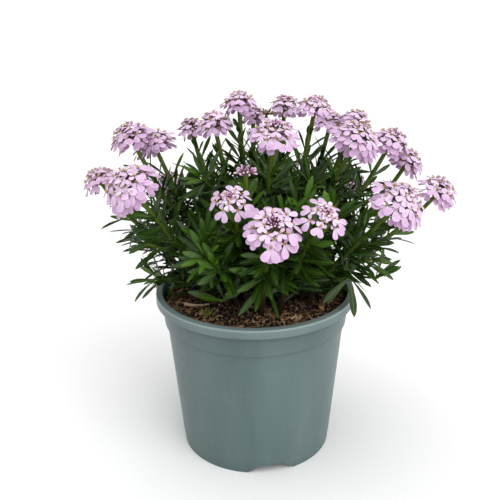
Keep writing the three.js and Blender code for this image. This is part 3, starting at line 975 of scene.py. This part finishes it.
def is_clear(corners, slack):
    """True where a leaf is out of the flower heads, the pot's wall and the peat, and hangs no more
    than its slack below the foliage's lower edge. Level leaves have less slack."""
    if np.any(np.linalg.norm(corners[:, None] - head_middles, axis=2) < head_reaches):
        return False
    height = corners[:, 2]
    reach = np.hypot(corners[:, 0], corners[:, 1])
    at_wall = (reach > rim_radius - rim_width - wall_gap) & (reach < rim_radius + outer_wall_gap)
    if np.any(at_wall & (height < pot_height + wall_gap)):
        return False
    if np.any((reach < rim_radius) & (height < peat_top + peat_gap)):
        return False
    foot, tip = corners[0], corners[-1]
    if abs(tip[2] - foot[2]) < level_rise:
        slack = level_slack * slack
    over_rim = foot[0] > hang_from and foot[1] < hang_to
    droop = height - leaf_skirt_height - leaf_skirt_slope * (reach - rim_radius)
    if np.any((reach > rim_radius) & (droop < -0.5 * slack)) and not over_rim:
        return False
    front = -corners[:, 1] - open_front_from
    shown = (front > 0) & (height < open_front_height + open_front_slope * front - slack)
    in_front = foot[1] < open_front_to and foot[0] > 0 and foot[2] > hang_height
    return over_rim or in_front or not np.any(shown)


leaf_form = model_blade(leaf_sections, "leaf")
light_from = np.array([0.1, -0.45, 0.9])
stem_rod = model_rod(8, 22)
side_rod = model_rod(6, 8)


def grow_leaf(cluster, leaf, width, tone, part, item):
    """Adds a leaf to a cluster where it is clear, rolled towards the light and bent a little."""
    along = leaf["along"]
    light = light_from + 0.4 * unit(np.array([leaf["foot"][0], leaf["foot"][1], 0.01]))
    face = unit(leaf["face"] * 0.6 + (light - along * np.dot(light, along)) * 0.8)
    face = swung(face, np.cross(along, face), 1.5 * (draw(part, item, 20) - 0.5))
    corners = bent_blade(
        leaf_form, leaf["foot"] + along * 0.6, along, face, leaf["length"], width, leaf_thickness,
        2 * leaf["bend"] + 0.1 * (draw(part, item, 21) - 0.5), 0.1 + 0.2 * draw(part, item, 22),
        0.5 * (draw(part, item, 23) - 0.5),
    )
    clear = is_clear(corners, leaf_slack * draw(part, item, 37))
    if clear:
        cluster.add(leaf_form, corners, tone, 1)
    return clear


def leaf_width(foot, chance):
    """Leaves are wider in front, where they stand in the light, than at the back."""
    return 2.3 + 0.8 * chance + 1.5 * clamped((-foot[1] - 8) / 40)


def grow_spray(cluster, points, part, spray):
    """More leaves round a stem or side shoot, in a spiral: their key and count, and a pair each of
    places, lengths, tilts and tones, for the spray's start and its end."""
    key, count, places, lengths, tilts, tones = spray
    for i in range(count):
        item = key + i
        share = (i + 0.5) / count
        place, along, side, front = frame_at(points, between(*places, share))
        thinning = side_thinning * abs(place[0]) - side_thinning_start
        if place[2] < low_side_height and abs(place[0]) > low_side_from:
            thinning += low_side_thinning
        if draw(part, item, 36) < thinning:
            continue
        length = between(*lengths, share) * (0.84 + 0.32 * draw(part, item, 33))
        tone = clamped(between(*tones, share) + 0.2 * (draw(part, item, 34) - 0.5))
        width = leaf_width(place, draw(part, item, 35))
        for attempt in range(4):
            chance = draw(part, item + 10 * attempt, 31)
            out = swung(side, front, golden_turn * i + draw_turn(part, key, 32) + 0.7 * attempt)
            tilt = math.radians(between(*tilts, share) + 16 * (chance - 0.5))
            leaf = leaf_at(place, along, out, tilt, length, 0.02 + 0.12 * chance)
            if grow_leaf(cluster, leaf, width, tone, part, item):
                break


def make_blade_marks_group():
    """Reads a blade's mark: a midrib, side veins, the way along it, and the tone of the copy."""
    group, given, result = new_group(
        "blade marks", {"Rib Width": 0.12, "Vein Count": 9}, ["Rib", "Veins", "Along", "Tone"]
    )
    across, along, tone = read_mark(group)
    side = calculate(group, "ABSOLUTE", across, 0)
    narrow = calculate(group, "DIVIDE", side, given.outputs["Rib Width"])
    rib = calculate(group, "SUBTRACT", 1.0, narrow, clamp=True)
    slant = calculate(group, "SUBTRACT", along, calculate(group, "MULTIPLY", side, 0.25))
    wave = calculate(group, "MULTIPLY", slant, given.outputs["Vein Count"])
    veins = calculate(group, "PINGPONG", wave, 0.5)
    group.links.new(rib, result.inputs["Rib"])
    group.links.new(calculate(group, "MULTIPLY", veins, 2.0), result.inputs["Veins"])
    group.links.new(along, result.inputs["Along"])
    group.links.new(tone, result.inputs["Tone"])
    return group


blade_marks_group = make_blade_marks_group()


def make_leaf_material():
    """Leathery leaves with a pale midrib: dark green low on the stems and bright green high up,
    partly old and young leaves and partly painted shade deep in the foliage.
    """
    material, tree, shader = new_material("leaf", 0.42, Specular_IOR_Level=0.28)
    marks = add_group(tree, blade_marks_group, Rib_Width=0.2, Vein_Count=8)
    mottle = add_group(tree, mottle_group, Cloud_Scale=130, Grain_Scale=900)
    # The tone's dark end is painted shade on the low, inner leaves; its bright end is the young leaves'
    # own colour.
    body = ramp(
        tree, marks.outputs["Tone"],
        [(0, 10, 25, 0), (0.3, 38, 67, 9), (0.65, 82, 125, 22), (1, 124, 168, 38)],
    )
    shaded = dapple(tree, body, mottle.outputs["Cloud"], grey(0.7), (1.25, 1.25, 1.2, 1))
    pale = blend_colours(tree, 0.35, shaded, linear(106, 142, 56))
    ribbed = blend_colours(tree, marks.outputs["Rib"], shaded, pale)
    tree.links.new(ribbed, shader.inputs["Base Color"])
    rough = ramp(tree, mottle.outputs["Grain"], [(0.3, 0.3), (0.7, 0.44)])
    tree.links.new(rough, shader.inputs["Roughness"])
    veins = calculate(tree, "MULTIPLY", marks.outputs["Veins"], 0.25)
    grain = calculate(tree, "MULTIPLY", mottle.outputs["Grain"], 0.5)
    add_bump(tree, shader, calculate(tree, "ADD", veins, grain), 0.25, 0.0003)
    return material


def make_stem_material():
    """Stems: brown and woody at the foot, olive green towards the tip."""
    material, tree, shader = new_material("stem", 0.6, Specular_IOR_Level=0.3)
    marks = add_group(tree, blade_marks_group)
    mottle = add_group(tree, mottle_group, Cloud_Scale=220, Grain_Scale=1200, Stretch=0.3)
    cloud = calculate(tree, "SUBTRACT", mottle.outputs["Cloud"], 0.5)
    uneven = calculate(tree, "MULTIPLY", cloud, 0.3)
    body = ramp(
        tree, calculate(tree, "ADD", marks.outputs["Along"], uneven),
        [(0.05, 30, 21, 13), (0.3, 52, 40, 18), (0.5, 57, 70, 14), (0.75, 66, 92, 12), (1, 90, 106, 25)],
    )
    colour = dapple(tree, body, mottle.outputs["Grain"], grey(0.75), grey(1.2))
    tree.links.new(colour, shader.inputs["Base Color"])
    add_bump(tree, shader, mottle.outputs["Grain"], 0.4, 0.0004)
    return material


leaf_material = make_leaf_material()
stem_material = make_stem_material()


# Sprays of leaves on a stem that ends in a flower head, on one whose head is far out, on one
# without flowers, and on the one in the middle of the front, which has a star of leaves. Two stems
# far out in front have more leaves.
# The tones of each spray rise from its start to its end, so low leaves are darker: partly older leaves,
# partly painted shade deep in the foliage.
near_sprays = [
    (500, 34, (0.2, 0.76), (22, 20), (72, 50), (0.0, 0.3)),
    (700, 16, (0.62, 0.84), (21, 17), (60, 36), (0.1, 0.45)),
    (800, 4, (0.86, 0.94), (11, 7), (34, 22), (0.3, 0.5)),
]
wide_sprays = [
    (500, 34, (0.32, 0.66), (22, 20), (72, 50), (0.0, 0.3)),
    (700, 16, (0.52, 0.74), (21, 17), (60, 36), (0.1, 0.45)),
    (800, 4, (0.76, 0.84), (11, 7), (34, 22), (0.3, 0.5)),
]
shoot_sprays = [
    (500, 22, (0.2, 0.9), (22, 20), (70, 56), (0.1, 0.3)),
    (700, 12, (0.93, 1.0), (21, 15), (78, 24), (0.2, 0.5)),
]
star_sprays = [
    (500, 12, (0.25, 0.44), (20, 18), (72, 56), (0.05, 0.2)),
    (600, 20, (0.47, 0.57), (23, 22), (104, 66), (0.2, 0.4)),
    (800, 6, (0.62, 0.84), (14, 10), (56, 34), (0.25, 0.5)),
]
more_leaves = (900, 16, (0.46, 0.8), (20, 16), (66, 44), (0.05, 0.3))
star_stem = 20
dressed_stems = (1, 17)

# Side shoots that stand out, two by their brighter rosettes and one by leaves that hang over the
# rim: the stem they grow on, where they leave it, where their tips are, how bright they are, and
# where their hanging leaves end.
marked_shoots = [
    (8, 0.42, (29, -35, 176), 0.45, []),
    (5, 0.5, (-31, -14, 188), 0.15, []),
    (27, 0.3, (57, -38, 132), 0.0, [(60, -45, 109), (71, -41, 113), (41, -46, 119)]),
]


def hang_leaf(cluster, foot, tip, part, item):
    """A long leaf from a shoot's tip to a place below it."""
    length = np.linalg.norm(tip - foot)
    along = (tip - foot) / length
    face = unit(light_from - along * np.dot(light_from, along))
    leaf = {"foot": foot, "along": along, "face": face, "length": length, "bend": 0.04}
    grow_leaf(cluster, leaf, 4.6, 0.2, part, item)


def has_room(tip):
    """True for a side shoot's tip that stays over the rim, behind the open front, and clear of the
    flower heads."""
    gaps = np.linalg.norm(head_middles - tip, axis=1) - head_reaches
    low_front = tip[1] < -30 and tip[2] < 138
    too_wide = math.hypot(tip[0], tip[1]) > 78 and tip[2] < 150
    return tip[2] > pot_height + 8 and np.min(gaps) > 14 and not low_front and not too_wide


def sprays_of(index, flowering, wide):
    """The sprays of leaves of a stem."""
    if index == star_stem:
        return star_sprays
    if not flowering:
        return shoot_sprays
    sprays = wide_sprays if wide else near_sprays
    return sprays + [more_leaves] if index in dressed_stems else sprays


def grow_side_shoot(cluster, part, number, points, young=0.2):
    """A side shoot with leaves along it and a rosette of younger ones at its tip."""
    cluster.add(side_rod, along_rod(side_rod, points, side_foot_radius, side_tip_radius), 0.5)
    key = 3000 * (number + 1)
    grow_spray(cluster, points, part, (key, 10, (0.2, 0.85), (21, 21), (70, 60), (0.1, 0.25)))
    rosette = (key + 400, 12, (0.85, 1.0), (22, 14), (80, 16), (0.2, 0.3 + young))
    grow_spray(cluster, points, part, rosette)


def grow_solid_shoot(cluster, index, number, points, solid):
    """A side shoot that the CAD node has, found again among the tries that its rule allows."""
    t = between(*side_shoot_places, draw(index, number, 3))
    for attempt in range(8):
        turn = draw_turn(index, number, 4) + 0.8 * attempt
        shoot = side_shoot_points(points, t, turn, side_shoot_length)
        if nearest_gap(solid, shoot[-1]) < solid_shoot_match:
            key = 1000 * (number + 1)
            plans = solid_leaf_plans(solid, shoot, index, key, solid_side_leaves, 0.35, 1, 0.3)
            for i, leaf in enumerate(plans):
                tone = 0.15 + 0.3 * draw(index, key + i, 24)
                grow_leaf(cluster, leaf, leaf_width(leaf["foot"], 0.5), tone, index, key + i)
            grow_side_shoot(cluster, index, number, shoot)
            break


def grow_marked_shoot(cluster, index, number, points):
    """One of the side shoots that stand out, where it grows on this stem."""
    stem, t, tip, brightness, leaf_tips = marked_shoots[number]
    if stem == index:
        tip = np.array(tip, float)
        place, along, _, _ = frame_at(points, t)
        middle = (place + tip) / 2 + along * 0.15 * np.linalg.norm(tip - place)
        grow_side_shoot(cluster, index, 7 + number, [place, middle, tip], brightness)
        for item, leaf_tip in enumerate(leaf_tips):
            hang_leaf(cluster, tip, np.array(leaf_tip, float), index, 9000 + item)


def grow_stem(index, tip_plan, node, name, flowering):
    """One leafy stem, in one mesh, in place of its CAD node."""
    points = stem_points(tip_plan)[0]
    solid = solid_corners(node)
    cluster = Cluster()
    cluster.add(stem_rod, along_rod(stem_rod, points, stem_foot_radius, stem_tip_radius), 0.5)
    wide = math.hypot(tip_plan[0], tip_plan[1]) > wide_reach
    end = stalk_from if flowering else 1.0
    plans = solid_leaf_plans(solid, points, index, 0, solid_leaves, stem_leaf_from, end, 0)
    for i, leaf in enumerate(plans):
        width = leaf_width(leaf["foot"], draw(index, i, 25))
        grow_leaf(cluster, leaf, width, 0.1 + 0.3 * draw(index, i, 24), index, i)
    for spray in sprays_of(index, flowering, wide):
        grow_spray(cluster, points, index, spray)
    for number in range(int(wide) if flowering else 2):
        grow_solid_shoot(cluster, index, number, points, solid)
    for number in range(3, 6) if flowering else ():
        t = 0.3 + 0.12 * (number - 3) + 0.08 * draw(index, number, 41)
        turn = golden_turn * number + draw_turn(index, 1, 42)
        shoot = side_shoot_points(points, t, turn, 24 + 9 * draw(index, number, 43))
        if has_room(shoot[-1]):
            grow_side_shoot(cluster, index, number, shoot)
    for number in range(len(marked_shoots)):
        grow_marked_shoot(cluster, index, number, points)
    piece = cluster.make(name, [stem_material, leaf_material])
    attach(piece, "root")
    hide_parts(node)


for index, head in enumerate(heads):
    grow_stem(index, head, f"stem_{index + 1:02d}", f"leafy_stem_{index + 1:02d}", True)
for index, shoot in enumerate(shoots):
    node = f"shoot_{index + 1:02d}"
    grow_stem(len(heads) + index, shoot, node, f"leafy_{node}", False)


# Flower heads: domes of florets in tiers, on short thin stalks. Each floret has two large outer
# petals and two small inner ones round a few yellow stamens. The lowest florets are the largest
# and hang a little, and mauve buds with pale tips stand close together on top.
petal_thickness = 0.3
floret_stalk = (0.5, 0.42)
bud_stalk = (0.4, 0.32)
head_stalk = (1.0, 0.6)

# Cross-sections of the petal, as of the leaf.
petal_sections = [
    (0, 0.2, 1.0),
    (0.14, 0.3, 1.0),
    (0.32, 0.62, 1.0),
    (0.52, 0.88, 0.9),
    (0.72, 1.0, 0.85),
    (0.87, 0.88, 0.8),
    (0.96, 0.58, 0.6),
    (1.0, 0.24, 0.4),
]

# Young heads have few florets open round many buds. The heads in bud have none open, and their
# buds are this pale: those of the one at the back are still olive green. Two heads in front are
# flatter than the rest, with larger petals round an open middle of buds, and their florets are
# turned round that middle by this many radians.
young_heads = (19, 21)
bud_heads = {18: 1.5, 22: 0.0}
flat_heads = {8: 0, 20: -0.6}

# Tiers of florets in a head, from the top down, in shares of its width: radius, height, lean
# outwards in degrees, petal length, count and tone. The lower tiers' darker tone is painted shade.
young_tiers = [
    (0.11, 0.17, 12, 0.1, 5, 0.95),
    (0.19, 0.11, 18, 0.14, 5, 0.85),
    (0.3, 0.0, 24, 0.25, 7, 0.5),
]
flat_tiers = [
    (0.17, 0.11, 12, 0.14, 7, 0.75),
    (0.26, 0.04, 20, 0.19, 6, 0.55),
    (0.31, -0.04, 28, 0.21, 9, 0.35),
    (0.23, -0.13, 38, 0.24, 4, 0.2),
]
narrow_tiers = [
    (0.12, 0.17, 12, 0.17, 4, 0.9),
    (0.24, 0.08, 28, 0.23, 6, 0.65),
    (0.29, -0.05, 44, 0.25, 6, 0.45),
    (0.22, -0.16, 58, 0.24, 4, 0.3),
]
small_tiers = [
    (0.09, 0.19, 10, 0.14, 5, 0.95),
    (0.19, 0.13, 24, 0.18, 7, 0.75),
    (0.27, 0.04, 34, 0.21, 8, 0.5),
    (0.31, -0.06, 42, 0.21, 8, 0.3),
    (0.25, -0.16, 52, 0.21, 5, 0.2),
]
middle_tiers = [
    (0.09, 0.19, 10, 0.13, 5, 0.95),
    (0.19, 0.13, 22, 0.16, 7, 0.8),
    (0.27, 0.06, 30, 0.19, 9, 0.55),
    (0.33, -0.03, 36, 0.2, 10, 0.35),
    (0.29, -0.13, 46, 0.2, 7, 0.2),
]
large_tiers = [
    (0.08, 0.19, 10, 0.11, 5, 0.95),
    (0.17, 0.145, 20, 0.14, 8, 0.8),
    (0.26, 0.08, 28, 0.175, 9, 0.6),
    (0.32, -0.01, 36, 0.195, 11, 0.4),
    (0.32, -0.1, 46, 0.2, 8, 0.25),
    (0.24, -0.17, 56, 0.19, 5, 0.2),
]

petal_form = model_blade(petal_sections, "petal")
stalk_rod = model_rod(5, 4)


def start_ball(segments, rings, radius, place):
    """Opens a piece as a small ball."""
    return start_piece(
        bpy.ops.mesh.primitive_uv_sphere_add, segments=segments, ring_count=rings, radius=radius,
        location=place,
    )


def model_bud():
    """A closed bud 1 long: a small ball drawn out to a blunt tip."""
    bud = start_ball(8, 6, 0.5, (0, 0, 0.5))
    bpy.ops.transform.resize(value=(0.78, 0.78, 1), center_override=(0, 0, 0.5))
    return form_of(close_piece(bud, "bud"))


def model_stamens():
    """The middle of a floret: a round ovary with six stamens about it."""
    heart = start_ball(6, 4, 0.55, (0, 0, 0.5))
    for i in range(6):
        x, y, _ = 0.75 * heading(math.radians(60 * i))
        bpy.ops.mesh.primitive_uv_sphere_add(
            segments=4, ring_count=4, radius=0.3, location=(x, y, 1.5 if i % 3 else 1.1)
        )
    return form_of(close_piece(heart, "stamens"))


bud_form = model_bud()
stamens_form = model_stamens()


def set_up(form, place, side, front, axis, scale):
    """Corners of a small piece that stands on a place along an axis."""
    return place + form["corners"] * scale @ np.array([side, front, axis])


def make_petal_material():
    """Petals: lilac, whiter near the claw and along the edge, with faint darker veins."""
    material, tree, shader = new_material(
        "petal", 0.62, Subsurface_Weight=0.1, Subsurface_Scale=0.0015, Specular_IOR_Level=0.25
    )
    marks = add_group(tree, blade_marks_group, Rib_Width=0.5, Vein_Count=3)
    mottle = add_group(tree, mottle_group, Cloud_Scale=160, Grain_Scale=1400)
    # The tone comes from the florets' tier: its darker end is painted shade on the lower florets.
    body = ramp(
        tree, marks.outputs["Tone"], [(0, 194, 156, 192), (0.5, 219, 185, 217), (1, 243, 221, 241)]
    )
    claw = ramp(
        tree, marks.outputs["Along"], [(0, 0.3), (0.3, 0.36), (0.65, 0), (0.92, 0), (1, 0.25)]
    )
    colour = blend_colours(tree, claw, body, linear(250, 236, 246))
    vein = calculate(tree, "MULTIPLY", marks.outputs["Rib"], 0.22)
    veined = blend_colours(tree, vein, colour, linear(196, 142, 206))
    dappled = dapple(tree, veined, mottle.outputs["Cloud"], (0.94, 0.92, 0.95, 1), grey(1.04))
    tree.links.new(dappled, shader.inputs["Base Color"])
    add_bump(tree, shader, mottle.outputs["Grain"], 0.15, 0.0002)
    return material


def make_stamen_material():
    """Yellow pollen on the stamens, and a green ovary below them."""
    material, tree, shader = new_material("stamen", 0.7)
    marks = add_group(tree, blade_marks_group)
    mottle = add_group(tree, mottle_group, Cloud_Scale=500, Grain_Scale=2000)
    colour = ramp(
        tree, calculate(tree, "MULTIPLY", marks.outputs["Along"], 0.6),
        [(0.25, 104, 96, 40), (0.45, 148, 120, 50), (0.9, 190, 160, 84)],
    )
    dappled = dapple(tree, colour, mottle.outputs["Grain"], grey(0.8), grey(1.15))
    tree.links.new(dappled, shader.inputs["Base Color"])
    return material


def make_bud_material():
    """Buds and flower stalks: purple-brown and green below, mauve to pale pink at the tips."""
    material, tree, shader = new_material("bud", 0.6)
    marks = add_group(tree, blade_marks_group)
    mottle = add_group(tree, mottle_group, Cloud_Scale=400, Grain_Scale=1500)
    dark = ramp(
        tree, marks.outputs["Along"],
        [(0, 92, 104, 56), (0.35, 122, 84, 96), (0.7, 178, 124, 166), (1, 222, 176, 214)],
    )
    light = ramp(
        tree, marks.outputs["Along"],
        [(0, 128, 120, 78), (0.35, 178, 132, 158), (0.7, 226, 184, 222), (1, 246, 226, 244)],
    )
    colour = blend_colours(tree, marks.outputs["Tone"], dark, light)
    dappled = dapple(tree, colour, mottle.outputs["Grain"], grey(0.85), grey(1.1))
    tree.links.new(dappled, shader.inputs["Base Color"])
    return material


def make_flower_stalk_material():
    """Thin stalks of the florets: olive green tinged with purple."""
    material, tree, shader = new_material("flower stalk", 0.6)
    marks = add_group(tree, blade_marks_group)
    mottle = add_group(tree, mottle_group, Cloud_Scale=300, Grain_Scale=1500)
    colour = ramp(
        tree, marks.outputs["Along"], [(0, 104, 122, 58), (0.55, 112, 92, 72), (1, 120, 78, 96)]
    )
    dappled = dapple(tree, colour, mottle.outputs["Cloud"], grey(0.75), grey(1.2))
    tree.links.new(dappled, shader.inputs["Base Color"])
    return material


flower_looks = [
    make_petal_material(), make_stamen_material(), make_bud_material(),
    make_flower_stalk_material(),
]


def add_floret(cluster, throat, outward, up, size, tone, part, item):
    """Four petals round a throat: two large ones outwards and two small ones inwards, which differ
    less in the small florets near the top of a head."""
    sideways = np.cross(up, outward)
    small = 0.5 + 0.3 * clamped((tone - 0.5) / 0.35)
    petals = ((27, 1.0, 0.6, 4), (-27, 1.0, 0.6, 4), (116, small, 0.68, 16), (-116, small, 0.68, 16))
    for number, (turn, share, shape, rise) in enumerate(petals):
        key = item * 4 + number
        chance = draw(part, key, 52)
        flat = swung(outward, sideways, math.radians(turn + 14 * (chance - 0.5)))
        lift = math.radians(rise + 16 * (draw(part, key, 53) - 0.5))
        length = size * share * (0.93 + 0.14 * chance)
        corners = bent_blade(
            petal_form, throat + flat * 0.3, swung(flat, up, lift), swung(up, -flat, lift), length,
            length * shape, petal_thickness, 0.5 * draw(part, key, 54) - 0.05, -0.1,
            0.5 * (draw(part, key, 61) - 0.5),
        )
        cluster.add(petal_form, corners, clamped(tone + 0.3 * (draw(part, key, 62) - 0.5)))
    middle = set_up(stamens_form, throat, outward, sideways, up, 0.6 + 0.07 * size)
    cluster.add(stamens_form, middle, 0.5, 1)


def add_stalk(cluster, start, end, axis, radii):
    """A thin stalk that bows a little towards the head's axis."""
    middle = start + (end - start) * 0.5 + axis * 0.22 * np.linalg.norm(end - start)
    cluster.add(stalk_rod, along_rod(stalk_rod, [start, middle, end], *radii), 0.5, 3)


def tiers_of(index, width):
    """The tiers of florets of a head, which depend on its kind and width."""
    if index in young_heads:
        return young_tiers
    if index in flat_heads:
        return flat_tiers
    if width > 33:
        return large_tiers
    return narrow_tiers if width < 24 else small_tiers if width < 30 else middle_tiers


def grow_florets(cluster, index, width, middle, axis, side, front):
    """The florets of a head, tier by tier, each on its own stalk from the head's middle line."""
    item = 0
    for radius, height, lean, petal, count, tone in tiers_of(index, width):
        for i in range(count):
            turn = 2 * math.pi * (i + 0.5 * draw(index, item, 55)) / count + index + 7 * height
            out = swung(side, front, turn + flat_heads.get(index, 0))
            tilt = math.radians(lean + 22 * (draw(index, item, 56) - 0.5))
            up = swung(axis, out, tilt)
            level = height + 0.07 * (draw(index, item, 57) - 0.5)
            spread = radius + 0.07 * (draw(index, item, 63) - 0.5)
            throat = middle + (out * spread + axis * level) * width
            start = middle + axis * max(-0.12, level - 0.17) * width
            add_stalk(cluster, start, throat - up * 0.3, axis, floret_stalk)
            size = petal * width * (0.95 + 0.2 * draw(index, item, 60))
            add_floret(cluster, throat, swung(out, -axis, tilt), up, size, tone, index, item)
            item += 1


def grow_buds(cluster, index, width, middle, foot, axis, side, front):
    """The buds in a head's middle: small and dark at the centre, larger and paler around it. A
    head in bud is made of them alone, and more unevenly."""
    flat = index in flat_heads
    young = flat or index in young_heads
    paleness = bud_heads.get(index, 1.5 if young else 1)
    if index in bud_heads:
        count, spread, rise, lean, growth, uneven = 26, 0.34, 0.1, 80, 1.3, 1
        shape = np.array([0.78, 0.78, 1.45])
    else:
        count = round(8 + 0.36 * width) + (6 if young and not flat else 0)
        spread, rise, lean, growth, uneven = 0.1 if flat else 0.13, 0.16, 45, 0.9, 0.3
        shape = np.array([0.85, 0.85, 1])
    for i in range(count):
        share = math.sqrt((i + 0.5) / count)
        turn = golden_turn * i + uneven * (draw(index, i, 64) - 0.5)
        out = swung(side, front, turn)
        tilt = math.radians(lean * share + 40 * uneven * (draw(index, i, 65) - 0.5))
        up = swung(axis, out, tilt)
        level = rise - 0.3 * spread * share * share + 0.14 * uneven * (draw(index, i, 66) - 0.5)
        place = middle + (out * spread * share + axis * level) * width
        size = (1.3 + growth * share) * (0.88 + 0.24 * draw(index, i, 58))
        sideways = unit(np.cross(up, side + 0.01 * front))
        add_stalk(cluster, foot, place, axis, bud_stalk)
        corners = set_up(bud_form, place, sideways, np.cross(up, sideways), up, size * shape)
        pale = share * share * (0.6 + 0.4 * draw(index, i, 59)) * paleness
        cluster.add(bud_form, corners, min(1, pale), 2 if paleness else 1)


def grow_head(index, head):
    """One flower head in one mesh, in place of its CAD node."""
    points, axis = stem_points(head)
    width, tip = head[3], points[-1]
    middle = np.array(head[:3], float)
    side = unit(np.cross((1.0, 0.0, 0.0), axis))
    front = np.cross(axis, side)
    top = middle + axis * 0.12 * width
    cluster = Cluster()
    stalk = along_rod(stalk_rod, [tip, (tip + top) / 2, top], *head_stalk)
    cluster.add(stalk_rod, stalk, 0.5, 3)
    if index not in bud_heads:
        grow_florets(cluster, index, width, middle, axis, side, front)
    foot = tip + axis * 0.05 * width
    grow_buds(cluster, index, width, middle, foot, axis, side, front)
    piece = cluster.make(f"florets_{index + 1:02d}", flower_looks)
    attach(piece, "root")
    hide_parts(f"bloom_{index + 1:02d}")


for index, head in enumerate(heads):
    grow_head(index, head)
